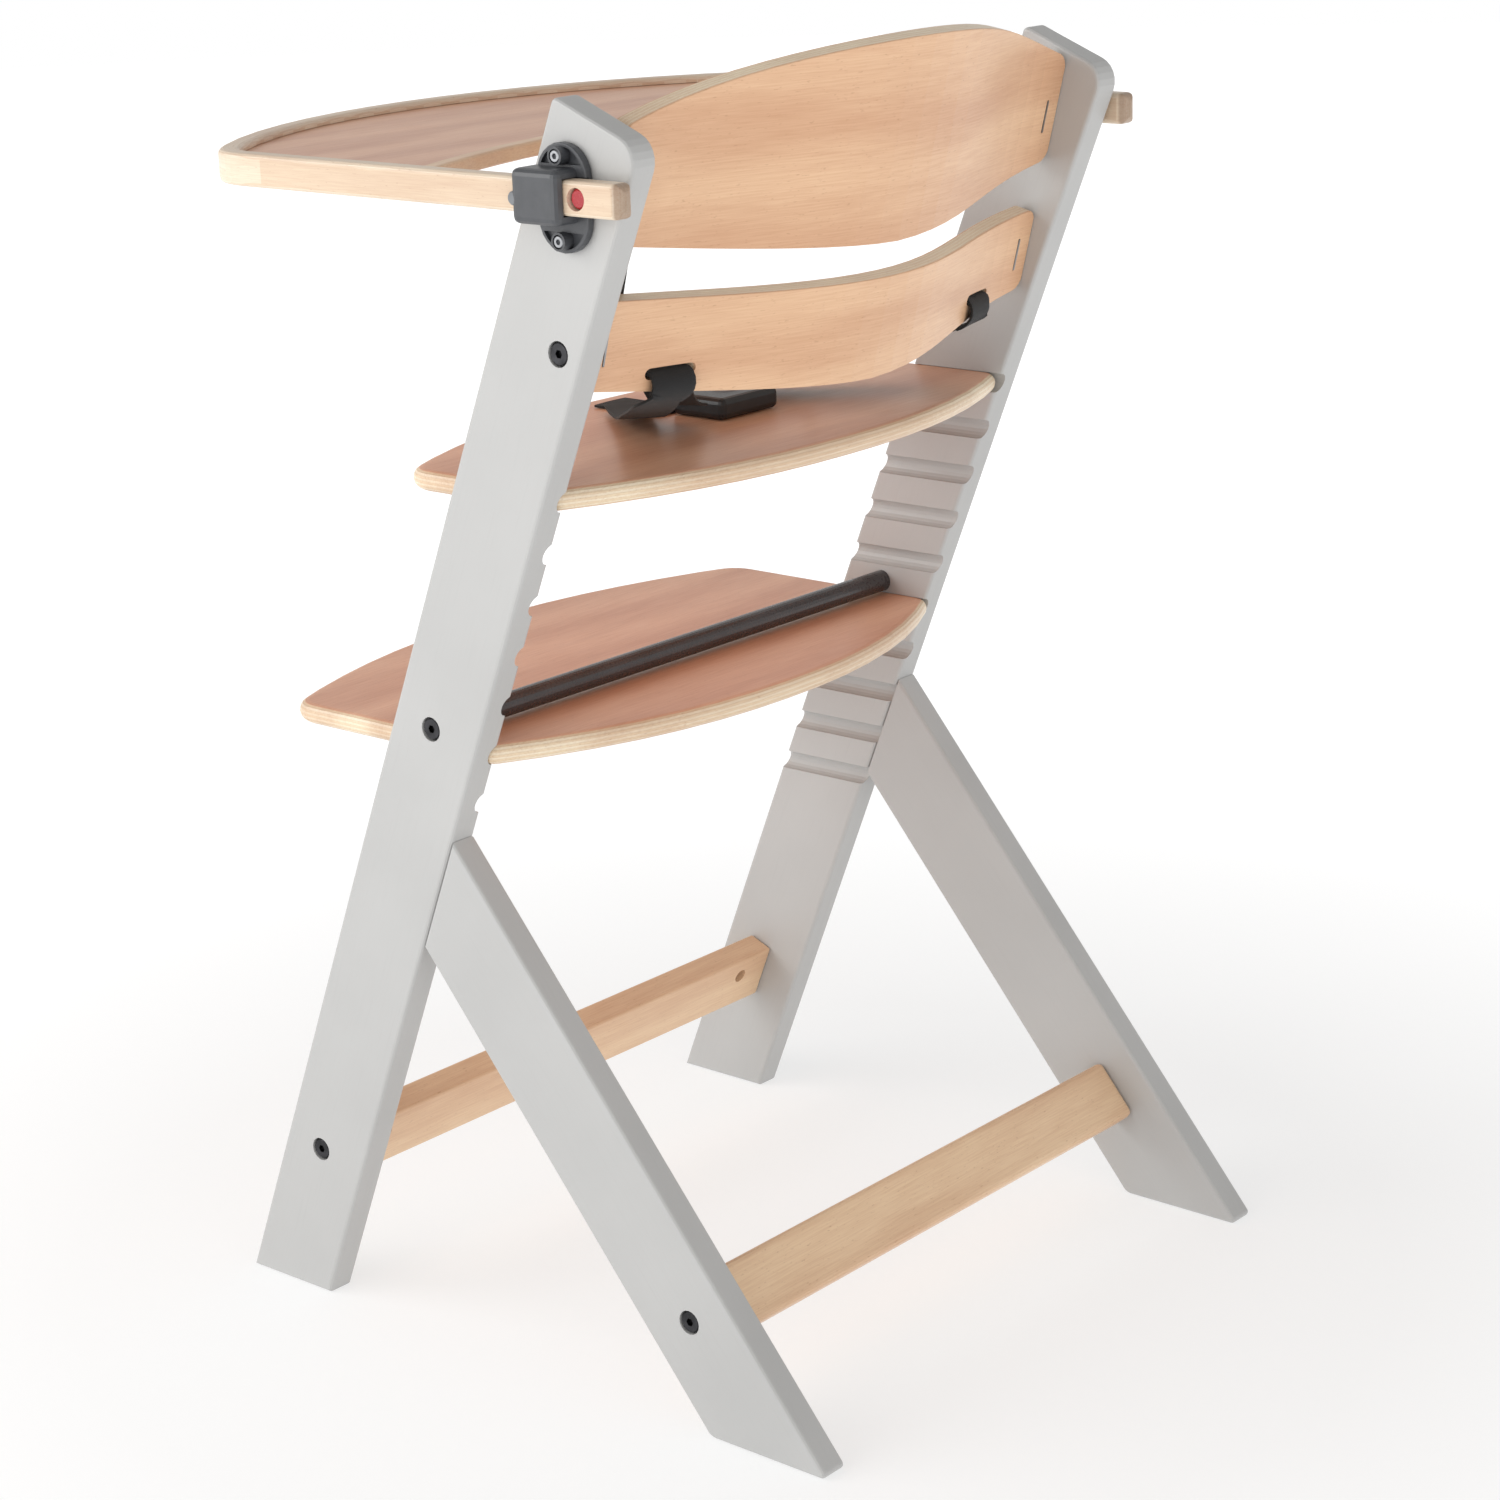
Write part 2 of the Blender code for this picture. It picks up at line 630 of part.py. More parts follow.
def make_tray_hoop():
    outer = hoop_path(0.0, HOOP_END_Y - HOOP_THICKNESS / 2)
    inner = hoop_path(HOOP_THICKNESS, HOOP_END_Y - HOOP_THICKNESS / 2)
    outline = list(outer) + arm_end(-1) + list(reversed(inner)) + arm_end(1)
    height = TRAY_TOP_Z - TRAY_BOTTOM_Z
    mesh = prism("hoop", outline, height, 0.003, None, (0, 0, TRAY_MID_Z))
    smooth(mesh)
    hoop = add_object("tray_hoop", mesh, BEECH)
    cut(hoop, [arm_end_envelope()], "INTERSECT")
    cutters = [groove_cutter()]
    for side, sign in SIDES:
        button = rod(BUTTON_HOLE_RADIUS, ((HOOP_OUTER_X + 0.005) * sign, BUTTON_Y, TRAY_MID_Z),
                     ((HOOP_OUTER_X - 0.011) * sign, BUTTON_Y, TRAY_MID_Z), 24)
        cutters.append(add_object(f"cut_button_hole_{side}", button))
        pin = rod(STOP_PIN_RADIUS + GAP, ((HOOP_OUTER_X + 0.005) * sign, STOP_PIN_Y, LATCH_Z),
                  ((HOOP_OUTER_X - 0.004) * sign, STOP_PIN_Y, LATCH_Z))
        cutters.append(add_object(f"cut_pin_hole_{side}", pin))
    cut(hoop, cutters)


def arm_end(sign):
    """The half-round end of one arm in plan, from its inner face if on the left, else its outer."""
    radius = HOOP_THICKNESS / 2
    centre = Vector(((HOOP_OUTER_X - radius) * sign, HOOP_END_Y - radius))
    angles = [math.pi * step / 8 for step in range(1, 8)]
    return [centre + radius * Vector((-math.cos(angle), math.sin(angle))) for angle in angles]


def arm_end_envelope():
    """The hoop's side view as a solid, with the arm ends' corners rounded."""
    low = TRAY_BOTTOM_Z - GAP / 2
    high = TRAY_TOP_Z + GAP / 2
    front = HOOP_FRONT_Y - 0.01
    corners = [(front, low), (HOOP_END_Y, low), (HOOP_END_Y, high), (front, high)]
    outline = round_corners(corners, (0, ARM_END_RADIUS, ARM_END_RADIUS, 0), 5)
    width = 2 * HOOP_OUTER_X + 0.02
    return add_object("cut_arm_ends", prism("envelope", outline, width, 0, SIDE_PLANE))


def rim_y(x):
    """Y of the tray's rear rim, bowed away from the child."""
    u = x / (HOOP_OUTER_X - HOOP_THICKNESS)
    return RIM_MIDDLE_Y + (RIM_END_Y - RIM_MIDDLE_Y) * u * u


def rear_curve(half, shift, count=16):
    xs = [half * (2 * step / count - 1) for step in range(count + 1)]
    return [(x, rim_y(x) + shift) for x in xs]


def panel_outline(grow):
    half = HOOP_OUTER_X - HOOP_THICKNESS + PANEL_TONGUE + grow
    rear = rear_curve(half, -RIM_WIDTH / 2 - GAP + grow)
    front = hoop_path(HOOP_THICKNESS - PANEL_TONGUE - grow, rear[0][1])
    return rear + list(front)[1:-1]


def groove_cutter():
    thickness = PANEL_Z[1] - PANEL_Z[0] + 2 * GAP
    z = sum(PANEL_Z) / 2
    groove = prism("groove", panel_outline(GAP), thickness, 0, None, (0, 0, z))
    return add_object("cut_panel_groove", groove)


def make_tray_panel():
    thickness = PANEL_Z[1] - PANEL_Z[0]
    mesh = prism("panel", panel_outline(0.0), thickness, 0, None, (0, 0, sum(PANEL_Z) / 2))
    add_object("tray_panel", mesh, PLATE_WOOD)


def make_tray_rim():
    half = HOOP_OUTER_X - HOOP_THICKNESS - GAP
    front = rear_curve(half, -RIM_WIDTH / 2)
    back = rear_curve(half, RIM_WIDTH / 2)
    outline = front + back[::-1]
    mesh = prism("rim", outline, RIM_Z[1] - RIM_Z[0], 0.0022, None, (0, 0, sum(RIM_Z) / 2))
    smooth(mesh)
    add_object("tray_rear_rim", mesh, BEECH)


def make_latches():
    """Dished base plate, screw bosses and the sleeve that the tray's arm slides through."""
    wide, tall, thick = LATCH_BASE
    turn = SIDE_PLANE @ Matrix.Rotation(math.radians(90), 4, "Z")
    inner = FRAME_HALF_WIDTH + GAP
    plate = prism("latch", stadium(tall, wide, 12), thick, 0.0008, turn,
                  (inner + thick / 2, LATCH_Y, LATCH_Z))
    latch = add_object("latch_left", plate, BLACK_PLASTIC)
    cut(latch, [latch_sleeve(inner)], "UNION")
    bosses = []
    cutters = [arm_way()]
    for name, step in (("lower", -1), ("upper", 1)):
        dish = prism("dish", dish_outline(step), thick, 0, turn,
                     (inner + LATCH_FLOOR + thick / 2, LATCH_Y, LATCH_Z))
        cut(latch, [add_object(f"cut_dish_{name}", dish)])
        z = LATCH_Z + LATCH_SCREW_RISE * step
        boss = rod(LATCH_BOSS_RADIUS, (inner + 0.001, LATCH_Y, z), (LATCH_BOSS_X, LATCH_Y, z), 18)
        bosses.append(add_object(f"join_boss_{name}", boss))
        cutters += screw_way_cutters(name, z)
        for side, sign in SIDES:
            make_latch_screw(f"latch_screw_{name}_{side}", sign, z)
    notch = rod(STOP_PIN_RADIUS + 0.0008, (HOOP_OUTER_X - 0.002, STOP_PIN_Y, LATCH_Z),
                (SLEEVE_OUTER_X + 0.01, STOP_PIN_Y, LATCH_Z))
    cutters.append(add_object("cut_pin_notch", notch))
    cut(latch, bosses, "UNION")
    cut(latch, cutters)
    mirror_to_right(latch, "latch_right")


def mirror_to_right(obj, name):
    bpy.context.view_layer.update()
    depsgraph = bpy.context.evaluated_depsgraph_get()
    mesh = bpy.data.meshes.new_from_object(obj.evaluated_get(depsgraph))
    mesh.transform(Matrix.Diagonal((-1, 1, 1, 1)))
    mesh.flip_normals()
    add_object(name, mesh, BLACK_PLASTIC)


def dish_outline(step):
    """The hollow between the plate's rim and the sleeve, above or below the sleeve."""
    radius = LATCH_BASE[0] / 2 - LATCH_RIM_WIDTH
    middle = (LATCH_BASE[1] - LATCH_BASE[0]) / 2
    limit = math.acos((DISH_START - middle) / radius)
    angles = [limit * (2 * k / 14 - 1) for k in range(15)]
    return [(step * (middle + radius * math.cos(angle)), radius * math.sin(angle))
            for angle in angles]


def latch_sleeve(inner):
    near = inner + 0.0004
    deep = SLEEVE_OUTER_X - near
    size = (deep, SLEEVE_Y[1] - SLEEVE_Y[0], SLEEVE_Z[1] - SLEEVE_Z[0])
    centre = (near + deep / 2, sum(SLEEVE_Y) / 2, sum(SLEEVE_Z) / 2)
    sleeve = add_object("join_sleeve", block(size, Matrix.Translation(centre)))
    bevel(sleeve, 0.0042)
    return sleeve


def screw_way_cutters(name, z):
    hole = rod(0.0024, (FRAME_HALF_WIDTH - 0.01, LATCH_Y, z), (LATCH_BOSS_X + 0.01, LATCH_Y, z))
    sink = rod(0.0041, (LATCH_BOSS_X - 0.0034, LATCH_Y, z), (LATCH_BOSS_X + 0.02, LATCH_Y, z))
    return [add_object(f"cut_screw_way_{name}", hole), add_object(f"cut_screw_sink_{name}", sink)]


def arm_way():
    inner = HOOP_OUTER_X - HOOP_THICKNESS - GAP
    outer = HOOP_OUTER_X + SLEEVE_CLEARANCE
    tall = TRAY_TOP_Z - TRAY_BOTTOM_Z + 2 * SLEEVE_CLEARANCE
    centre = ((inner + outer) / 2, LATCH_Y, TRAY_MID_Z)
    way = block((outer - inner, 0.1, tall), Matrix.Translation(centre))
    return add_object("cut_arm_way", way)


def make_latch_screw(name, sign, z):
    profile = [(0, 0), (0.0031, 0), (0.0037, -0.0006), (0.0037, -0.0030), (0.0020, -0.0030),
               (0.0020, -0.0225), (0.0008, -0.0245), (0, -0.0245)]
    mesh = turned(name, profile, 16)
    smooth(mesh)
    screw = add_object(name, mesh, STEEL)
    screw.matrix_world = along_x(sign, LATCH_BOSS_X - 0.0001, LATCH_Y, z)
    socket = add_object(f"cut_socket_{name}", rod(0.0018, (0, 0, -0.0018), (0, 0, 0.001), 6))
    socket.matrix_world = screw.matrix_world
    cut(screw, [socket])


def make_button(side, sign):
    """A red cup that is pressed into the arm, with its return spring pressed flat behind it."""
    face = HOOP_OUTER_X - 0.0020
    mesh = turned("button", [(0, 0), (BUTTON_RADIUS - 0.0012, 0), (BUTTON_RADIUS, -0.0012),
                             (BUTTON_RADIUS, -0.0050), (0.0046, -0.0050), (0.0046, -0.0020),
                             (0, -0.0020)], 24)
    smooth(mesh)
    button = add_object(f"release_button_{side}", mesh, RED_PLASTIC)
    button.matrix_world = along_x(sign, face, BUTTON_Y, TRAY_MID_Z)
    pivot = bpy.data.objects.new(f"button_axis_{side}", None)
    PARTS.objects.link(pivot)
    pivot.location = (HOOP_OUTER_X * sign, BUTTON_Y, TRAY_MID_Z)
    button.parent = pivot
    bpy.context.view_layer.update()
    button.matrix_parent_inverse = pivot.matrix_world.inverted()
    make_spring(f"button_spring_{side}", sign)


def make_spring(name, sign):
    """A three-turn coil at its pressed length, from the bottom of the arm's hole."""
    wire, radius, turns, per_turn = 0.00035, 0.0033, 3, 9
    start = HOOP_OUTER_X - 0.011 + GAP + wire
    length = 0.0029
    curve = bpy.data.curves.new(name, "CURVE")
    curve.dimensions = "3D"
    curve.bevel_depth = wire
    curve.bevel_resolution = 2
    curve.use_fill_caps = True
    spline = curve.splines.new("POLY")
    count = turns * per_turn
    spline.points.add(count)
    for step, point in enumerate(spline.points):
        angle = 2 * math.pi * step / per_turn
        x = (start + length * step / count) * sign
        y = BUTTON_Y + radius * math.cos(angle)
        point.co = (x, y, TRAY_MID_Z + radius * math.sin(angle), 1)
    spring = bpy.data.objects.new(name, curve)
    bpy.context.scene.collection.objects.link(spring)
    bpy.context.view_layer.update()
    mesh = freeze(spring)
    smooth(mesh, 60)
    add_object(name, mesh, STEEL)


def make_stop_pin(side, sign):
    mesh = turned("pin", [(0, 0), (STOP_PIN_RADIUS - 0.0008, 0), (STOP_PIN_RADIUS, -0.0008),
                          (STOP_PIN_RADIUS, -0.0060), (0, -0.0060)])
    smooth(mesh)
    pin = add_object(f"tray_stop_pin_{side}", mesh, GREY_PLASTIC)
    pin.matrix_world = along_x(sign, HOOP_OUTER_X + 0.0024, STOP_PIN_Y, LATCH_Z)


def slat_slant(x):
    """How fast a slat's surface turns rearward along X."""
    turn = math.sin(math.pi * min(abs(x) / SLAT_HALF, 1.0))
    return -math.copysign(SLAT_BULGE * 0.5 * math.pi / SLAT_HALF * turn, x)


def ribbon(name, stations, width):
    """Webbing as a flat band through (x, y, z, slant) stations, set across by dy/dx."""
    path = [Vector(station[:3]) for station in stations]
    bm = bmesh.new()
    rings = []
    for index, point in enumerate(path):
        before = path[max(index - 1, 0)]
        after = path[min(index + 1, len(path) - 1)]
        flow = (after - before).normalized()
        normal = Vector((1, stations[index][3], 0)).cross(flow).normalized()
        side = flow.cross(normal) * width / 2
        normal *= WEB_THICKNESS / 2
        offsets = (-side - normal, side - normal, side + normal, normal - side)
        rings.append([bm.verts.new(point + offset) for offset in offsets])
    for first, second in zip(rings, rings[1:]):
        for k in range(4):
            bm.faces.new((first[k], first[(k + 1) % 4], second[(k + 1) % 4], second[k]))
    bm.faces.new(rings[0][::-1])
    bm.faces.new(rings[-1])
    bmesh.ops.recalc_face_normals(bm, faces=bm.faces)
    mesh = bpy.data.meshes.new(name)
    bm.to_mesh(mesh)
    bm.free()
    return add_object(name, mesh, WEBBING)


def lap_strap_stations(sign):
    """From the buckle up to the slat's slot, through it, round the slat's bottom edge and
    forward again to a free end on the seat."""
    x, slot_z = WEB_SLOT_PLACE
    middle = slat_surface(x, slot_z)
    front = middle - SLAT_THICKNESS / 2 - 0.003
    rear = middle + SLAT_THICKNESS / 2 + 0.003
    slant = slat_slant(x)
    buckle_x = BUCKLE_CENTRE[0] * sign + BUCKLE_SIZE[0] / 2 + 0.0125
    rise = [(buckle_x, 0.000, 0.5830, -1.7), (buckle_x + 0.024, 0.013, 0.5900, -1.6),
            (0.080, 0.038, 0.6050, -1.3), (0.115, front - 0.022, 0.6220, -0.9),
            (0.140, front - 0.007, 0.6315, -0.4)]
    turn = [(x, y, slot_z + up, slant) for y, up in (
        (front, -0.0005), (front + 0.006, 0.0005), (rear - 0.004, 0), (rear, -0.004),
        (rear, -0.010), (rear - 0.005, -0.0160), (rear - 0.013, -0.0195))]
    tail = [(0.128, front - 0.020, 0.6050, -0.6), (0.095, front - 0.055, 0.5930, -0.85),
            (0.060, front - 0.092, 0.5810, -0.9), (0.034, front - 0.122, 0.5768, -0.9),
            (0.016, front - 0.143, 0.5764, -0.9)]
    if sign < 0:
        tail = [(here_x + 0.030, y, z, slope) for here_x, y, z, slope in tail[:-1]]
        tail[0] = (0.140, tail[0][1], tail[0][2], -0.4)
    return [(here_x * sign, y, z, slope * sign) for here_x, y, z, slope in rise + turn + tail]


def make_harness():
    """Two lap straps through the lower slat, a side strap and a crotch strap at the buckle."""
    for side, sign in SIDES:
        ribbon(f"lap_strap_{side}", lap_strap_stations(sign), WEB_WIDTH)
    x = SHOULDER_STRAP_X
    clear = SLAT_THICKNESS / 2 + 0.003
    stations = [(x, slat_surface(x, z) - clear, z, slat_slant(x)) for z in SHOULDER_STRAP_Z]
    ribbon("shoulder_strap_left", stations, SHOULDER_STRAP_WIDTH)
    x, front, rear = CROTCH_STRAP
    lie = SEAT_TOP_Z + WEB_THICKNESS / 2 + 0.0004
    stations = [(x, front + (rear - front) * k / 5, lie, 0) for k in range(6)]
    ribbon("crotch_strap", stations, WEB_WIDTH)
    make_buckle()


def make_buckle():
    wide, deep, tall = BUCKLE_SIZE
    centre = (*BUCKLE_CENTRE, SEAT_TOP_Z + tall / 2 + 0.0005)
    shell = block(BUCKLE_SIZE, Matrix.Translation(centre))
    body = add_object("buckle_body", shell, BLACK_PLASTIC)
    bevel(body, 0.004)
    well = rod(0.0095, (*BUCKLE_CENTRE, centre[2] + 0.0005),
               (*BUCKLE_CENTRE, centre[2] + 0.02), 24)
    cut(body, [add_object("cut_buckle_well", well)])
    mesh = turned("press", [(0, 0), (0.0080, 0), (0.0090, -0.0010), (0.0090, -0.0036),
                            (0, -0.0036)], 24)
    smooth(mesh)
    press = add_object("buckle_button", mesh, GREY_PLASTIC)
    press.location = (*BUCKLE_CENTRE, centre[2] + tall / 2 + 0.0006)


clear_scene()
PARTS = make_collection("high_chair")
CUTTERS = make_collection("cutters")
PAINT = material("grey_paint", (0.66, 0.66, 0.65), 0.45)
BEECH = material("beech", (0.80, 0.55, 0.34), 0.45)
BEECH_PLY = material("beech_ply", (0.82, 0.55, 0.35), 0.45)
PLATE_WOOD = material("beech_veneer", (0.58, 0.32, 0.21), 0.45)
BLACK_STEEL = material("black_steel", (0.02, 0.02, 0.02), 0.35, 0.6)
STEEL = material("zinc_steel", (0.55, 0.55, 0.56), 0.35, 1.0)
BLACK_PLASTIC = material("black_plastic", (0.04, 0.04, 0.045), 0.4)
GREY_PLASTIC = material("grey_plastic", (0.25, 0.25, 0.26), 0.4)
RED_PLASTIC = material("red_plastic", (0.45, 0.02, 0.03), 0.35)
WEBBING = material("black_webbing", (0.02, 0.02, 0.02), 0.85)

for side_name, side_sign in SIDES:
    make_post(side_name, side_sign)
    make_rear_leg(side_name, side_sign)
    make_dowels(side_name, side_sign)
    make_bolts(side_name, side_sign)
    make_button(side_name, side_sign)
    make_stop_pin(side_name, side_sign)
make_latches()
make_crossbar()
make_stretcher("front_stretcher", FRONT_STRETCHER, post_point(*FRONT_STRETCHER_PLACE),
               -POST_LEAN, FRONT_BOLT, 0.002, 1)
make_stretcher("rear_stretcher", REAR_STRETCHER, leg_point(*REAR_STRETCHER_PLACE),
               math.radians(90) - LEG_SLOPE, LEG_BOLTS["rear_stretcher"], 0.004, -1)
make_plate("seat", SEAT_OUTLINE, groove_z(0))
make_plate("footrest", FOOTREST_OUTLINE, groove_z(FOOTREST_GROOVE))
make_slat("upper_slat", UPPER_SLAT, False)
make_slat("lower_slat", LOWER_SLAT, True)
make_tray_hoop()
make_tray_panel()
make_tray_rim()
make_harness()
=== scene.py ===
"""Finishes, harness webbing, button springs and studio for the wooden high chair."""

import math

import bpy
from bpy.props import FloatProperty, FloatVectorProperty, PointerProperty
from mathutils import Matrix, Vector


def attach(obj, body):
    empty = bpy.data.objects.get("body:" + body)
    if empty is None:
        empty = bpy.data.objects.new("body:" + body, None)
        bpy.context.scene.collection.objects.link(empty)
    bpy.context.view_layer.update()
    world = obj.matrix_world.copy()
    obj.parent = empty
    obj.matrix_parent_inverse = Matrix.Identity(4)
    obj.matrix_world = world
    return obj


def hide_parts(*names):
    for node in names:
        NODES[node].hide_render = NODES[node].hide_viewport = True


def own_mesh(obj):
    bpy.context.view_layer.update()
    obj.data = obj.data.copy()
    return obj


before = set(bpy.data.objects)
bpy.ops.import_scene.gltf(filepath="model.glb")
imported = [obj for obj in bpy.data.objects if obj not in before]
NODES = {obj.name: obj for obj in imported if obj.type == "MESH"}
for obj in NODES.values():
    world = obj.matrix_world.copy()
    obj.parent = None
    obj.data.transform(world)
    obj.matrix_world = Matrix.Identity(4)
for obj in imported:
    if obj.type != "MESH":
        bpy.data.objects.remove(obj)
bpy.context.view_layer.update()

bl_info = {
    "name": "High Chair Workshop",
    "version": (1, 0, 0),
    "blender": (4, 5, 0),
    "location": "3D View > Sidebar > High Chair",
    "description": "Finishes the wooden high chair and makes its webbing, springs and studio",
    "category": "Object",
}

MM = 0.001

# Where the chair's pieces lie, in metres, and how their boards lean, in degrees
SLAT_HALF = 0.2127
SLAT_BASE = (0.0995, 0.684)
SLAT_LEAN = 0.26
SLAT_BULGE = 0.048
SLAT_THICKNESS = 0.012
WEB_SLOT = (0.150, 0.635)
BUCKLE_X = -0.018
BUCKLE_WIDTH = 0.056
CROTCH_STRAP = (0.004, -0.082, -0.0245)
SHOULDER_STRAP_X = 0.192
SHOULDER_STRAP_HEIGHTS = (0.650, 0.675, 0.700, 0.725)
WEB_CLEARANCE = 0.003
SEAT_TOP = 0.5715
SEAT_MIDDLE = 0.5650
FOOTREST_MIDDLE = 0.39925
PLATE_THICKNESS = 0.013
TRAY_PANEL_MIDDLE = 0.7515
TRAY_PANEL_THICKNESS = 0.005
HOOP_OUTER_X = 0.250
HOOP_FRONT_Y = -0.266
HOOP_CORNER_Y = -0.171
POST_LEAN = 22.4
LEG_LEAN = -39.9
HOOP_PLY = 0.0027
# Where the hoop's sawn ends begin: the span over which their end grain and painted shade darken
SAWN_END_GRAIN_AND_SHADE = (0.1535, 0.1560)
BUTTON_Y = 0.1275
TRAY_MIDDLE = 0.749

# Button springs: wire radius, coil radius, turns, free length and where their bore ends
SPRING_WIRE = 0.35 * MM
SPRING_RADIUS = 3.3 * MM
SPRING_TURNS = 4
SPRING_LENGTH = 0.0061
SPRING_SEAT_X = HOOP_OUTER_X - 0.0107

# Studio: softboxes as place, target and size, and the camera
SIDE_SOFTBOX = ((2.1, -0.5, 0.95), (0, 0, 0.40), (1.8, 1.9))
REAR_SOFTBOX = ((0.7, 2.3, 0.9), (0, 0, 0.42), (1.6, 1.6))
FRONT_SOFTBOX = ((1.5, -1.7, 1.5), (0, 0, 0.42), (1.5, 1.5))
CEILING_SHARE = 0.42
FLOOR_GLOW = 1.18
CAMERA_PLACE = (1.6357, 1.4350, 1.0046)
CAMERA_ANGLES = (130.74, 16.81, -1.842)
CAMERA_LENS = 82.69


def linear(code):
    """An sRGB hex colour as linear red, green and blue."""
    channels = [int(code[i:i + 2], 16) / 255 for i in (1, 3, 5)]
    return tuple(c / 12.92 if c <= 0.04045 else ((c + 0.055) / 1.055) ** 2.4 for c in channels)


# ---------------------------------------------------------------- settings

def colour(name, description, code):
    """A colour setting with an sRGB default."""
    return FloatVectorProperty(name=name, description=description, subtype="COLOR", size=3,
                               min=0.0, max=1.0, default=linear(code))


class HighChairFinishes(bpy.types.PropertyGroup):
    """Colours of the chair's finishes."""
    paint: colour("Paint", "Satin paint on the side frames", "#BEBEBD")
    beech: colour("Beech", "Lacquered solid beech", "#F2D2AD")
    slat_veneer: colour("Slat veneer", "Outer veneer of the back slats", "#EAC19B")
    plate_veneer: colour("Plate veneer", "Outer veneer of the seat, footrest and tray", "#EAB999")
    ply: colour("Plies", "Pale inner plies on the plywood edges", "#F6E8CE")
    black_coat: colour("Black coat", "Powder coat on the crossbar", "#343031")
    moulding: colour("Black moulding", "Moulded latches", "#404246")
    button: colour("Button", "Release buttons", "#B3202B")
    webbing: colour("Webbing", "Harness webbing", "#1B1A1B")


class HighChairHarness(bpy.types.PropertyGroup):
    """Sizes of the harness webbing."""
    width: FloatProperty(name="Width", description="Width of the lap webbing",
                         default=0.030, min=0.02, max=0.05, unit="LENGTH")
    thickness: FloatProperty(name="Thickness", description="Thickness of the webbing",
                             default=0.0016, min=0.0008, max=0.003, unit="LENGTH")
    shoulder_width: FloatProperty(name="Shoulder width", description="Width of the side strap",
                                  default=0.030, min=0.02, max=0.05, unit="LENGTH")


class HighChairStudio(bpy.types.PropertyGroup):
    """Light and backdrop."""
    sky: FloatProperty(name="Sky", description="Strength of the even light from all round",
                       default=0.74, min=0.0, max=3.0)
    key_power: FloatProperty(name="Key light", description="Power of the large side softbox",
                             default=14.0, min=0.0, max=500.0, unit="POWER")
    rear_power: FloatProperty(name="Rear light", description="Power of the rear softbox",
                              default=6.3, min=0.0, max=500.0, unit="POWER")
    front_power: FloatProperty(name="Front light", description="Power of the front softbox",
                               default=18.0, min=0.0, max=500.0, unit="POWER")


# ---------------------------------------------------------------- node trees

def add(tree, kind, inputs=None, **settings):
    """Adds a node, sets its properties, and sets or links its inputs."""
    node = tree.nodes.new("ShaderNode" + kind)
    for name, value in settings.items():
        setattr(node, name, value)
    for key, value in (inputs or {}).items():
        socket = node.inputs[key]
        if isinstance(value, bpy.types.NodeSocket):
            tree.links.new(value, socket)
        else:
            socket.default_value = value
    return node


def rgba(value):
    """A colour with full alpha, as a node's socket takes it."""
    return (*value, 1.0)


def maths(tree, operation, *values):
    """The result of a Math node on one to three values or sockets."""
    return add(tree, "Math", dict(enumerate(values)), operation=operation).outputs[0]


def blend_colours(tree, factor, low, high):
    """One colour at a factor of 0 and another at 1."""
    node = add(tree, "Mix", {"Factor": factor, 6: low, 7: high}, data_type="RGBA")
    return node.outputs[2]


def new_material(name, **shader):
    """A material with a Principled shader, its settings on the shader's own sockets."""
    made = bpy.data.materials.new(name)
    made.use_nodes = True
    bsdf = made.node_tree.nodes["Principled BSDF"]
    for key, value in shader.items():
        bsdf.inputs[key.replace("_", " ")].default_value = value
    return made, made.node_tree, bsdf


def bump(tree, bsdf, height, distance, strength):
    """Relief from a height between 0 and 1, of a depth in metres."""
    node = add(tree, "Bump", {"Height": height, "Distance": distance, "Strength": strength})
    tree.links.new(node.outputs["Normal"], bsdf.inputs["Normal"])


def noise(tree, vector, scale, detail=2.0, roughness=0.5):
    """Noise between 0 and 1, about its scale in features per metre."""
    inputs = {"Vector": vector, "Scale": scale, "Detail": detail, "Roughness": roughness}
    return add(tree, "TexNoise", inputs).outputs["Fac"]


def remap(tree, value, low, high, to_low=0.0, to_high=1.0):
    """A value's range between two levels, stretched to another range and clamped."""
    inputs = {"Value": value, "From Min": low, "From Max": high, "To Min": to_low, "To Max": to_high}
    return add(tree, "MapRange", inputs).outputs["Result"]


def object_coordinates(tree, turn=(0, 0, 0)):
    """A piece's own coordinates in metres, turned to lie along its board."""
    place = add(tree, "TexCoord").outputs["Object"]
    return add(tree, "Mapping", {"Vector": place, "Rotation": turn}).outputs["Vector"]


# ---------------------------------------------------------------- wood

def grain(tree, along, across, depth):
    """Beech figure from metres along, across and into the wood: growth bands, pores and flecks.

    Growth bands are about 9 mm wide, pore lines 0.9 mm apart and up to 30 mm long, and flecks
    2 mm long; the flecks are drawn about twice as coarse as real ones so that they show."""
    def stretched(run, width, thickness):
        parts = {"X": maths(tree, "MULTIPLY", along, run),
                 "Y": maths(tree, "MULTIPLY", across, width),
                 "Z": maths(tree, "MULTIPLY", depth, thickness)}
        return add(tree, "CombineXYZ", parts).outputs[0]

    sway = noise(tree, stretched(4, 14, 14), 1.0, 2.0)
    band_place = maths(tree, "MULTIPLY_ADD", sway, 7.0, maths(tree, "MULTIPLY", across, 95.0))
    band_waves = maths(tree, "SINE", band_place)
    bands = maths(tree, "MULTIPLY_ADD", band_waves, 0.22,
                  noise(tree, stretched(6, 55, 55), 1.0, 4.0, 0.6))
    pores = noise(tree, stretched(34, 1100, 1100), 1.0, 2.0, 0.6)
    flecks = noise(tree, stretched(260, 900, 900), 1.0, 1.0)
    return bands, remap(tree, pores, 0.35, 0.72), remap(tree, flecks, 0.66, 0.80)


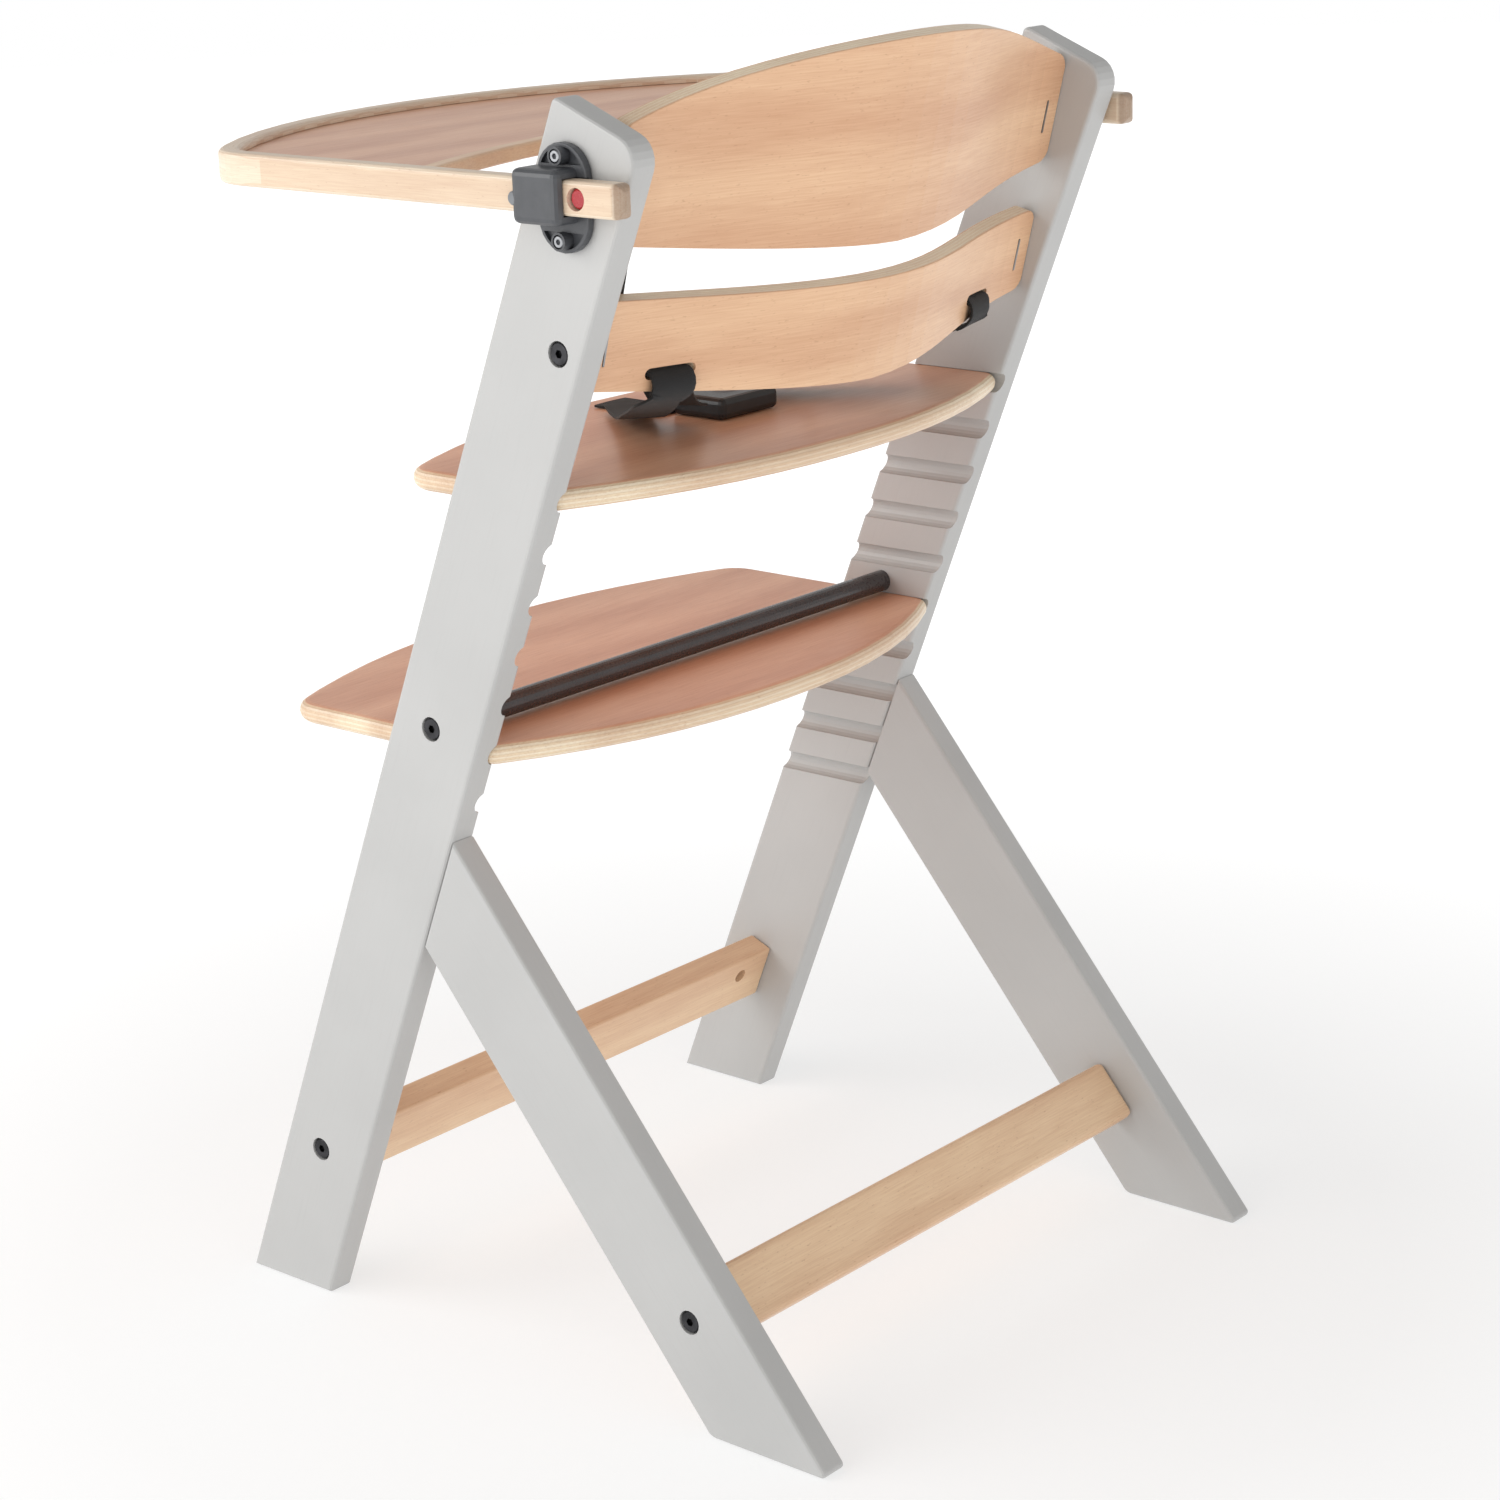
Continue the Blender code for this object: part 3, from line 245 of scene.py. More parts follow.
def wood_finish(tree, bsdf, body, figure):
    """Tints a wood's body colour by its figure and gives the lacquer its faint relief."""
    bands, pores, flecks = figure
    light = add(tree, "MixRGB", {"Fac": remap(tree, bands, 0.25, 0.85, 0.0, 0.34),
                                 "Color1": body, "Color2": rgba(linear("#B9784C"))},
                blend_type="MULTIPLY").outputs[0]
    lined = add(tree, "MixRGB", {"Fac": maths(tree, "MULTIPLY", pores, 0.20),
                                 "Color1": light, "Color2": rgba(linear("#C08A60"))},
                blend_type="MULTIPLY").outputs[0]
    flecked = add(tree, "MixRGB", {"Fac": maths(tree, "MULTIPLY", flecks, 0.30),
                                   "Color1": lined, "Color2": rgba(linear("#9C623C"))},
                  blend_type="MIX").outputs[0]
    tree.links.new(flecked, bsdf.inputs["Base Color"])
    rough = maths(tree, "MULTIPLY_ADD", pores, 0.10, 0.36)
    tree.links.new(rough, bsdf.inputs["Roughness"])
    relief = maths(tree, "MULTIPLY_ADD", flecks, -0.8, maths(tree, "MULTIPLY", pores, -0.5))
    bump(tree, bsdf, relief, 0.06 * MM, 0.5)


def split(tree, vector):
    """A vector's X, Y and Z sockets."""
    return add(tree, "SeparateXYZ", {0: vector}).outputs


def solid_beech(name):
    # Steamed beech, planed and lacquered: pinkish straw colour with short dark flecks
    made, tree, bsdf = new_material(name, IOR=1.5, Coat_Weight=0.18, Coat_Roughness=0.30)
    x, y, z = split(tree, object_coordinates(tree))
    body = rgba(bpy.context.scene.high_chair_finishes.beech)
    wood_finish(tree, bsdf, body, grain(tree, x, z, y))
    return made


def bent_hoop_beech():
    # Laminated beech bent in one piece: paler than the rails, with grain that runs round the
    # hoop, faint glue lines, and sawn ends darkened brown, partly end grain and partly painted shade
    made, tree, bsdf = new_material("laminated_beech", IOR=1.5, Coat_Weight=0.18,
                                    Coat_Roughness=0.30)
    x, y, z = split(tree, object_coordinates(tree))
    half = HOOP_OUTER_X
    rise = HOOP_CORNER_Y - HOOP_FRONT_Y
    radius = (half ** 2 + rise ** 2) / (2 * rise)
    centre_y = HOOP_FRONT_Y + radius
    from_side = maths(tree, "SUBTRACT", half, maths(tree, "ABSOLUTE", x))
    back = maths(tree, "SUBTRACT", y, centre_y)
    spread = maths(tree, "SQRT", maths(tree, "ADD", maths(tree, "MULTIPLY", x, x),
                                       maths(tree, "MULTIPLY", back, back)))
    from_front = maths(tree, "SUBTRACT", radius, spread)
    depth = maths(tree, "SMOOTH_MIN", from_side, from_front, 0.03)
    along = maths(tree, "ADD", maths(tree, "ABSOLUTE", x), y)
    layer = maths(tree, "FRACT", maths(tree, "DIVIDE", depth, HOOP_PLY))
    glue = maths(tree, "LESS_THAN", layer, 0.10)
    bands, pores, flecks = grain(tree, along, z, depth)
    body = blend_colours(tree, maths(tree, "MULTIPLY", glue, 0.30),
                         rgba(linear("#EADAC3")), rgba(linear("#C79B70")))
    # Sawn ends: browner end grain, darkened further as painted shade
    end_grain_and_painted_shade = remap(tree, y, *SAWN_END_GRAIN_AND_SHADE, 0.0, 0.62)
    body = blend_colours(tree, end_grain_and_painted_shade, body, rgba(linear("#7A553B")))
    wood_finish(tree, bsdf, body, (bands, pores, flecks))
    return made


def plywood(name, veneer, depth_from, core, ply_thickness):
    """Faced plywood: veneer colour past the core's half depth, pale plies within it."""
    made, tree, bsdf = new_material(name, IOR=1.5, Coat_Weight=0.15, Coat_Roughness=0.32)
    x, y, z = split(tree, object_coordinates(tree))
    depth, across = depth_from(tree, x, y, z)
    steps = maths(tree, "DIVIDE", maths(tree, "ADD", depth, 1.0), ply_thickness)
    ply = maths(tree, "FLOOR", steps)
    turned_ply = maths(tree, "MODULO", ply, 2.0)
    line = maths(tree, "LESS_THAN", maths(tree, "FRACT", steps), 0.13)
    finishes = bpy.context.scene.high_chair_finishes
    pale = blend_colours(tree, maths(tree, "MULTIPLY", turned_ply, 0.35), rgba(finishes.ply),
                         rgba(linear("#E0BC8B")))
    edge = blend_colours(tree, maths(tree, "MULTIPLY", line, 0.28), pale, rgba(linear("#B98A58")))
    face = maths(tree, "GREATER_THAN", maths(tree, "ABSOLUTE", depth), core)
    figure = grain(tree, x, across, depth)
    body = blend_colours(tree, face, edge, rgba(veneer))
    wood_finish(tree, bsdf, body, figure)
    return made


def slat_depth(tree, x, y, z):
    """Depth from a bent slat's middle surface, and height up its face."""
    share = maths(tree, "DIVIDE", maths(tree, "ABSOLUTE", x), SLAT_HALF)
    bell = maths(tree, "COSINE", maths(tree, "MULTIPLY", share, math.pi))
    surface = maths(tree, "MULTIPLY_ADD", bell, SLAT_BULGE / 2, SLAT_BASE[0] + SLAT_BULGE / 2)
    lean = maths(tree, "MULTIPLY", maths(tree, "SUBTRACT", z, SLAT_BASE[1]), SLAT_LEAN)
    offset = maths(tree, "SUBTRACT", y, maths(tree, "ADD", surface, lean))
    return maths(tree, "MULTIPLY", offset, math.cos(math.atan(SLAT_LEAN))), z


def plate_depth(middle):
    """Depth from a flat plate's middle, with the grain's width running front to back."""
    def depth(tree, x, y, z):
        return maths(tree, "SUBTRACT", z, middle), y
    return depth


# ---------------------------------------------------------------- paint, metal and plastic

def painted_beech(name, lean):
    # Satin lacquer paint sprayed on beech: an even light grey, a faint grain along the board
    made, tree, bsdf = new_material(name, IOR=1.5, Coat_Weight=0.10, Coat_Roughness=0.35)
    place = object_coordinates(tree, (math.radians(lean), 0, 0))
    x, y, z = split(tree, place)
    parts = {"X": maths(tree, "MULTIPLY", x, 700), "Y": maths(tree, "MULTIPLY", y, 700),
             "Z": maths(tree, "MULTIPLY", z, 22)}
    fibres = noise(tree, add(tree, "CombineXYZ", parts).outputs[0], 1.0, 3.0, 0.6)
    peel = noise(tree, place, 900.0, 2.0)
    cloud = noise(tree, place, 9.0, 3.0)
    paint = bpy.context.scene.high_chair_finishes.paint
    shade = tuple(c * 0.93 for c in paint)
    mottled = blend_colours(tree, remap(tree, cloud, 0.3, 0.7), rgba(shade), rgba(paint))
    lined = blend_colours(tree, remap(tree, fibres, 0.55, 0.85, 0.0, 0.35), mottled,
                          rgba(tuple(c * 0.86 for c in paint)))
    tree.links.new(lined, bsdf.inputs["Base Color"])
    tree.links.new(remap(tree, fibres, 0.3, 0.8, 0.38, 0.50), bsdf.inputs["Roughness"])
    bump(tree, bsdf, maths(tree, "MULTIPLY_ADD", peel, 0.35, fibres), 0.05 * MM, 0.45)
    return made


def speckled(name, body, other, scale, rough, relief, **shader):
    """One material with a fine even grain, for moulded, coated and plated surfaces."""
    made, tree, bsdf = new_material(name, **shader)
    place = object_coordinates(tree)
    fine = noise(tree, place, scale, 3.0, 0.6)
    cloud = noise(tree, place, scale / 12, 2.0)
    mixed = blend_colours(tree, remap(tree, cloud, 0.3, 0.7), rgba(body), rgba(other))
    tree.links.new(mixed, bsdf.inputs["Base Color"])
    tree.links.new(remap(tree, fine, 0.3, 0.7, *rough), bsdf.inputs["Roughness"])
    bump(tree, bsdf, fine, relief, 0.5)
    return made


def woven_polyester():
    # Black polyester webbing: rows of ribs 1.9 mm apart with a twill step, and flat selvedges
    made, tree, bsdf = new_material("woven_polyester", IOR=1.5, Roughness=0.82, Sheen_Weight=0.08,
                                    Sheen_Roughness=0.45)
    u, v, _ = split(tree, add(tree, "UVMap", uv_map="UVMap").outputs[0])
    rib, yarn = 1.9 * MM, 1.2 * MM
    across = maths(tree, "MULTIPLY", u, 2 * math.pi / yarn)
    step = maths(tree, "MULTIPLY", maths(tree, "FLOOR", maths(tree, "DIVIDE", u, yarn)), 0.5 * math.pi)
    along = maths(tree, "MULTIPLY_ADD", v, 2 * math.pi / rib, step)
    crown = maths(tree, "MULTIPLY", maths(tree, "ABSOLUTE", maths(tree, "SINE", along)),
                  maths(tree, "ABSOLUTE", maths(tree, "SINE", across)))
    body = bpy.context.scene.high_chair_finishes.webbing
    # Painted highlight on the yarn crowns and painted shade in the hollows between them, on top of
    # their bump
    weave_highlight_and_shade = blend_colours(tree, crown, rgba(tuple(c * 0.5 for c in body)),
                           rgba(tuple(c * 1.6 for c in body)))
    tree.links.new(weave_highlight_and_shade, bsdf.inputs["Base Color"])
    bump(tree, bsdf, crown, 0.25 * MM, 0.8)
    return made


# ---------------------------------------------------------------- modelling helpers

def deselect_all():
    if bpy.context.object and bpy.context.object.mode != "OBJECT":
        bpy.ops.object.mode_set(mode="OBJECT")
    bpy.ops.object.select_all(action="DESELECT")


def finish_piece(obj, name, look, body, smooth_angle=40):
    """Applies what is left on a piece, gives it its name and finish, and hands it to a body."""
    deselect_all()
    obj.select_set(True)
    bpy.context.view_layer.objects.active = obj
    for modifier in list(obj.modifiers):
        bpy.ops.object.modifier_apply(modifier=modifier.name)
    bpy.ops.object.transform_apply(location=True, rotation=True, scale=True)
    bpy.ops.object.mode_set(mode="EDIT")
    bpy.ops.mesh.select_all(action="SELECT")
    bpy.ops.mesh.remove_doubles(threshold=0.00001)
    bpy.ops.mesh.normals_make_consistent(inside=False)
    bpy.ops.object.mode_set(mode="OBJECT")
    bpy.ops.object.shade_smooth_by_angle(angle=math.radians(smooth_angle))
    obj.name = name
    obj.data.name = name
    obj.data.materials.clear()
    obj.data.materials.append(look)
    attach(obj, body)
    return obj


def repaint(names, look):
    """Gives CAD nodes a finish, and changes nothing else of them."""
    for name in names:
        slots = NODES[name].data.materials
        slots.clear()
        slots.append(look)


def both(*stems):
    """The left and right names of paired pieces."""
    return [f"{stem}_{side}" for stem in stems for side in ("left", "right")]


def slat_y(x, z):
    """Where a slat's middle surface lies."""
    bell = 0.5 * (1 + math.cos(math.pi * min(abs(x) / SLAT_HALF, 1.0)))
    return SLAT_BASE[0] + SLAT_LEAN * (z - SLAT_BASE[1]) + SLAT_BULGE * bell


def slat_turn(x):
    """How fast a slat's surface turns rearward along X."""
    turn = math.sin(math.pi * min(abs(x) / SLAT_HALF, 1.0))
    return -math.copysign(SLAT_BULGE * 0.5 * math.pi / SLAT_HALF * turn, x)


def smooth_path(stations, steps):
    """Points on a smooth curve through (x, y, z, slant) stations, evenly spaced."""
    knots = [Vector(station) for station in stations]
    dense = []
    for index in range(len(knots) - 1):
        before = knots[max(index - 1, 0)]
        start, end = knots[index], knots[index + 1]
        after = knots[min(index + 2, len(knots) - 1)]
        for k in range(24):
            t = k / 24
            dense.append(0.5 * (2 * start + (end - before) * t
                                + (2 * before - 5 * start + 4 * end - after) * t * t
                                + (3 * start - before - 3 * end + after) * t ** 3))
    dense.append(knots[-1])
    lengths = [0.0]
    for first, second in zip(dense, dense[1:]):
        lengths.append(lengths[-1] + (second - first).xyz.length)
    path, index = [], 0
    for step in range(steps + 1):
        goal = lengths[-1] * step / steps
        while index < len(dense) - 2 and lengths[index + 1] < goal:
            index += 1
        gap = max(lengths[index + 1] - lengths[index], 1e-9)
        path.append(dense[index].lerp(dense[index + 1], (goal - lengths[index]) / gap))
    return path, lengths[-1]


def lap_stations(sign):
    """From the buckle up to the slat's slot, through it, round the slat's bottom edge and
    forward again to a free end on the seat."""
    x, slot_z = WEB_SLOT
    middle = slat_y(x, slot_z)
    front = middle - SLAT_THICKNESS / 2 - WEB_CLEARANCE
    rear = middle + SLAT_THICKNESS / 2 + WEB_CLEARANCE
    slant = slat_turn(x)
    buckle_x = BUCKLE_X * sign + BUCKLE_WIDTH / 2 + 0.0125
    rise = [(buckle_x, 0.000, 0.5830, -1.7), (buckle_x + 0.024, 0.013, 0.5900, -1.6),
            (0.080, 0.038, 0.6050, -1.3), (0.115, front - 0.022, 0.6220, -0.9),
            (0.140, front - 0.007, 0.6315, -0.4)]
    turn = [(x, y, slot_z + up, slant) for y, up in (
        (front, -0.0005), (front + 0.006, 0.0005), (rear - 0.004, 0), (rear, -0.004),
        (rear, -0.010), (rear - 0.005, -0.0160), (rear - 0.013, -0.0195))]
    tail = [(0.128, front - 0.020, 0.6050, -0.6), (0.095, front - 0.055, 0.5930, -0.85),
            (0.060, front - 0.092, 0.5810, -0.9), (0.034, front - 0.122, 0.5768, -0.9),
            (0.016, front - 0.143, 0.5764, -0.9)]
    if sign < 0:
        tail = [(here_x + 0.030, y, z, slope) for here_x, y, z, slope in tail[:-1]]
        tail[0] = (0.140, tail[0][1], tail[0][2], -0.4)
    return [(here_x * sign, y, z, slope * sign) for here_x, y, z, slope in rise + turn + tail]


def webbing(name, stations, width, thickness, look):
    """A band of webbing laid along a path: a grid bent to it, thickened and rounded.

    Its middle stands a quarter of a millimetre above its edges, as a soft band lies."""
    across, rows = 8, 160
    path, length = smooth_path(stations, rows)
    deselect_all()
    bpy.ops.mesh.primitive_grid_add(x_subdivisions=across, y_subdivisions=rows, size=1.0)
    band = bpy.context.object
    for vertex in band.data.vertices:
        row = round((vertex.co.y + 0.5) * rows)
        point = path[row]
        flow = (path[min(row + 1, rows)] - path[max(row - 1, 0)]).xyz.normalized()
        rise = Vector((1, point.w, 0)).cross(flow).normalized()
        offset = flow.cross(rise) * (vertex.co.x * width)
        crown = (1 - (2 * vertex.co.x) ** 2) * 0.00025
        vertex.co = point.xyz + offset + rise * crown
    for loop in band.data.uv_layers[0].data:
        loop.uv = (loop.uv[0] * width, loop.uv[1] * length)
    shell = band.modifiers.new("thickness", "SOLIDIFY")
    shell.thickness = thickness
    shell.offset = 0
    edge = band.modifiers.new("edge", "BEVEL")
    edge.width = thickness * 0.4
    edge.segments = 2
    edge.angle_limit = math.radians(50)
    return finish_piece(band, name, look, "frame", 60)


def wind_coil():
    """A coil spring up the Z axis: a ring of wire wound by a screw, with its two ends closed."""
    deselect_all()
    bpy.ops.mesh.primitive_circle_add(vertices=8, radius=SPRING_WIRE, fill_type="NOTHING",
                                      location=(0, 0, 0), rotation=(math.pi / 2, 0, 0))
    coil = bpy.context.object
    bpy.ops.object.transform_apply(location=True, rotation=True, scale=True)
    for vertex in coil.data.vertices:
        vertex.co.x += SPRING_RADIUS
    screw = coil.modifiers.new("wind", "SCREW")
    screw.angle = 2 * math.pi * SPRING_TURNS
    screw.screw_offset = SPRING_LENGTH
    screw.steps = 20 * SPRING_TURNS
    screw.render_steps = 20 * SPRING_TURNS
    bpy.ops.object.modifier_apply(modifier=screw.name)
    bpy.ops.object.mode_set(mode="EDIT")
    bpy.ops.mesh.select_all(action="DESELECT")
    bpy.ops.mesh.select_non_manifold()
    bpy.ops.mesh.edge_face_add()
    bpy.ops.object.mode_set(mode="OBJECT")
    return coil


# ---------------------------------------------------------------- operators

class HIGHCHAIR_OT_paint_frames(bpy.types.Operator):
    """Paint the posts and the rear legs, each with its grain along its own board."""
    bl_idname = "highchair.paint_frames"
    bl_label = "Paint side frames"

    def execute(self, context):
        repaint(both("post"), painted_beech("satin_paint_on_posts", POST_LEAN))
        repaint(both("rear_leg"), painted_beech("satin_paint_on_legs", LEG_LEAN))
        return {"FINISHED"}


class HIGHCHAIR_OT_lacquer_beech(bpy.types.Operator):
    """Give the rails, the tray's hoop and rim, and the dowels their lacquered beech."""
    bl_idname = "highchair.lacquer_beech"
    bl_label = "Lacquer solid beech"

    def execute(self, context):
        lacquered = solid_beech("lacquered_beech")
        repaint(["front_stretcher", "rear_stretcher", "tray_rear_rim"], lacquered)
        repaint(both("leg_dowel_lower", "leg_dowel_upper"), solid_beech("plain_beech"))
        repaint(["tray_hoop"], bent_hoop_beech())
        return {"FINISHED"}


class HIGHCHAIR_OT_face_plywood(bpy.types.Operator):
    """Face the slats, the seat, the footrest and the tray's panel, with plies on their edges."""
    bl_idname = "highchair.face_plywood"
    bl_label = "Face plywood"

    def execute(self, context):
        finishes = context.scene.high_chair_finishes
        # Bent beech plywood of nine plies under a clear lacquer
        slats = plywood("bent_beech_plywood", finishes.slat_veneer, slat_depth, 4.9 * MM, 1.33 * MM)
        repaint(["upper_slat", "lower_slat"], slats)
        # Flat birch-cored plywood with a warmer beech veneer and full-round edges
        for name, middle in (("seat", SEAT_MIDDLE), ("footrest", FOOTREST_MIDDLE)):
            plate = plywood(f"{name}_plywood", finishes.plate_veneer, plate_depth(middle),
                            PLATE_THICKNESS / 2 - 0.7 * MM, 1.45 * MM)
            repaint([name], plate)
        panel = plywood("panel_plywood", finishes.plate_veneer, plate_depth(TRAY_PANEL_MIDDLE),
                        TRAY_PANEL_THICKNESS / 2 - 0.4 * MM, 1.0 * MM)
        repaint(["tray_panel"], panel)
        return {"FINISHED"}


class HIGHCHAIR_OT_finish_steel(bpy.types.Operator):
    """Coat the crossbar, blacken the bolts and plate the screws and nuts."""
    bl_idname = "highchair.finish_steel"
    bl_label = "Finish steel"

    def execute(self, context):
        coat = context.scene.high_chair_finishes.black_coat
        # Gloss powder coat on steel tube: deep black with a slight orange peel
        bar = speckled("gloss_powder_coat", coat, tuple(c * 1.5 for c in coat), 420.0,
                       (0.24, 0.34), 0.03 * MM, IOR=1.5, Coat_Weight=0.3, Coat_Roughness=0.12)
        repaint(["crossbar"], bar)
        # Black zinc-plated steel: dark metal with a dull grey bloom
        bolt = speckled("black_zinc_steel", linear("#4A4A4D"), linear("#38383A"), 1500.0,
                        (0.30, 0.46), 0.02 * MM, Metallic=1.0)
        repaint(both("upper_slat_bolt", "lower_slat_bolt", "crossbar_bolt", "front_stretcher_bolt",
                     "rear_stretcher_bolt"), bolt)
        # Bright zinc-plated steel: light, slightly cloudy metal
        plated = speckled("bright_zinc_steel", linear("#A9ABAE"), linear("#8E9093"), 1200.0,
                          (0.26, 0.40), 0.02 * MM, Metallic=1.0)
        repaint(both("latch_screw_lower", "latch_screw_upper", "upper_slat_nut", "lower_slat_nut",
                     "front_stretcher_barrel_nut", "rear_stretcher_barrel_nut"), plated)
        return {"FINISHED"}


class HIGHCHAIR_OT_finish_plastic(bpy.types.Operator):
    """Give the latches, buckle, buttons and pins their moulded plastic."""
    bl_idname = "highchair.finish_plastic"
    bl_label = "Finish plastic"

    def execute(self, context):
        finishes = context.scene.high_chair_finishes
        black = finishes.moulding
        # Glass-filled nylon from a spark-eroded mould: dark, with a soft grey sheen
        nylon = speckled("moulded_nylon", black, tuple(c * 1.25 for c in black), 1400.0,
                         (0.34, 0.48), 0.05 * MM, IOR=1.53, Coat_Weight=0.15, Coat_Roughness=0.25)
        repaint(both("latch"), nylon)
        # Black acetal: the buckle's shell, smoother and darker than the latches
        shell = speckled("black_acetal", linear("#17181A"), linear("#1E1F21"), 1100.0,
                         (0.28, 0.40), 0.03 * MM, IOR=1.48)
        repaint(["buckle_body"], shell)
        # Acetal pins and press: mid grey and slightly waxy
        acetal = speckled("moulded_acetal", linear("#85888C"), linear("#74777B"), 900.0,
                          (0.32, 0.44), 0.03 * MM, IOR=1.48)
        repaint(both("tray_stop_pin") + ["buckle_button"], acetal)
        # Gloss ABS buttons: saturated red with a clean highlight
        red = speckled("gloss_red_abs", finishes.button, tuple(c * 0.85 for c in finishes.button),
                       700.0, (0.20, 0.30), 0.02 * MM, IOR=1.54, Coat_Weight=0.25)
        repaint(both("release_button"), red)
        return {"FINISHED"}


class HIGHCHAIR_OT_make_harness(bpy.types.Operator):
    """Lay the harness webbing through the lower slat's slots, across the seat and by the post."""
    bl_idname = "highchair.make_harness"
    bl_label = "Make harness webbing"

    def execute(self, context):
        sizes = context.scene.high_chair_harness
        look = woven_polyester()
        for side, sign in (("left", 1), ("right", -1)):
            band = webbing(f"lap_webbing_{side}", lap_stations(sign), sizes.width,
                           sizes.thickness, look)
            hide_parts(f"lap_strap_{side}")
        x = SHOULDER_STRAP_X
        clear = SLAT_THICKNESS / 2 + WEB_CLEARANCE
        stations = [(x, slat_y(x, z) - clear, z, slat_turn(x)) for z in SHOULDER_STRAP_HEIGHTS]
        strap = webbing("shoulder_webbing_left", stations, sizes.shoulder_width,
                        sizes.thickness, look)
        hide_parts("shoulder_strap_left")
        x, front, rear = CROTCH_STRAP
        lie = SEAT_TOP + sizes.thickness / 2 + 0.0005
        stations = [(x, front + (rear - front) * k / 5, lie, 0) for k in range(6)]
        strap = webbing("crotch_webbing", stations, sizes.width, sizes.thickness, look)
        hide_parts("crotch_strap")
        return {"FINISHED"}


class HIGHCHAIR_OT_make_springs(bpy.types.Operator):
    """Wind the return springs behind the release buttons at their free length."""
    bl_idname = "highchair.make_springs"
    bl_label = "Make button springs"

    def execute(self, context):
        start = SPRING_SEAT_X + SPRING_WIRE
        look = speckled("spring_steel", linear("#B4B6B8"), linear("#9A9C9F"), 1500.0,
                        (0.22, 0.34), 0.01 * MM, Metallic=1.0)
        for side, sign in (("left", 1), ("right", -1)):
            coil = wind_coil()
            turn = Matrix.Rotation(math.radians(90) * sign, 4, "Y")
            place = Matrix.Translation((start * sign, BUTTON_Y, TRAY_MIDDLE))
            coil.data.transform(place @ turn)
            finish_piece(coil, f"return_spring_{side}", look, "tray", 60)
            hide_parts(f"button_spring_{side}")
            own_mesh(coil)
        return {"FINISHED"}


class HIGHCHAIR_OT_build_studio(bpy.types.Operator):
    """Set up the pale floor, the backdrop, the soft lights and the camera."""
    bl_idname = "highchair.build_studio"
    bl_label = "Build studio"

    def execute(self, context):
        studio = context.scene.high_chair_studio
        make_floor()
        make_backdrop()
        make_sky(studio.sky)
        soft_light("side_softbox", *SIDE_SOFTBOX, studio.key_power)
        soft_light("rear_softbox", *REAR_SOFTBOX, studio.rear_power)
        soft_light("front_softbox", *FRONT_SOFTBOX, studio.front_power)
        place_camera()
        context.scene.view_settings.view_transform = "Standard"
        return {"FINISHED"}


# ---------------------------------------------------------------- studio

def make_floor():
    """A white floor that glows at half share near the chair, as painted light that lifts its cast
    shadows and lights the chair from below, and fully at its far part, so that it runs into the
    backdrop without a line.
    """
    deselect_all()
    bpy.ops.mesh.primitive_circle_add(vertices=96, radius=9.0, fill_type="NGON",
                                      location=(0, 0, -0.0006))
    floor = bpy.context.object
    floor.name = "studio_floor"
    bpy.ops.object.transform_apply(location=True)
    made, tree, bsdf = new_material("studio_paper", Roughness=0.9, Specular_IOR_Level=0.2)
    place = object_coordinates(tree)
    fibre = noise(tree, place, 400.0, 2.0)
    paper = blend_colours(tree, fibre, rgba(linear("#F3F3F3")), rgba(linear("#F8F8F8")))
    tree.links.new(paper, bsdf.inputs["Base Color"])
    reach = add(tree, "VectorMath", {0: place}, operation="LENGTH").outputs["Value"]
    glow = add(tree, "Emission", {"Color": (1, 1, 1, 1), "Strength": FLOOR_GLOW}).outputs[0]
    # Painted light: near the chair half of the floor's colour is glow, which lifts the cast shadows
    # there
    share = remap(tree, reach, 0.45, 1.5, 0.50, 1.0)
    mixed = add(tree, "MixShader", {0: share, 1: bsdf.outputs[0], 2: glow}).outputs[0]
    tree.links.new(mixed, tree.nodes["Material Output"].inputs["Surface"])
    floor.data.materials.append(made)


def make_backdrop():
    """A white dome that only the camera sees, so that it adds no light."""
    deselect_all()
    bpy.ops.mesh.primitive_uv_sphere_add(segments=48, ring_count=24, radius=12.0)
    dome = bpy.context.object
    dome.name = "studio_backdrop"
    made, tree, bsdf = new_material("backdrop_white")
    glow = add(tree, "Emission", {"Color": (1, 1, 1, 1), "Strength": 1.0}).outputs[0]
    tree.links.new(glow, tree.nodes["Material Output"].inputs["Surface"])
    dome.data.materials.append(made)
    for sight in ("diffuse", "glossy", "transmission", "shadow", "volume_scatter"):
        setattr(dome, f"visible_{sight}", False)


def make_sky(strength):
    """Even light from the sides, less from the dark ceiling above."""
    world = bpy.data.worlds.new("studio_sky")
    world.use_nodes = True
    tree = world.node_tree
    height = split(tree, add(tree, "TexCoord").outputs["Generated"])[2]
    share = remap(tree, height, 0.35, 0.95, strength, strength * CEILING_SHARE)
    sky = tree.nodes["Background"]
    sky.inputs["Color"].default_value = (1.0, 0.995, 0.985, 1.0)
    tree.links.new(share, sky.inputs["Strength"])
    bpy.context.scene.world = world


def soft_light(name, place, target, size, power):
    """A rectangular softbox at one place, turned towards another."""
    lamp = bpy.data.lights.new(name, "AREA")
    lamp.shape = "RECTANGLE"
    lamp.size, lamp.size_y = size
    lamp.energy = power
    lamp.color = (1.0, 0.99, 0.975)
    obj = bpy.data.objects.new(name, lamp)
    bpy.context.scene.collection.objects.link(obj)
    toward = Vector(target) - Vector(place)
    obj.matrix_world = (Matrix.Translation(place)
                        @ toward.to_track_quat("-Z", "Y").to_matrix().to_4x4())


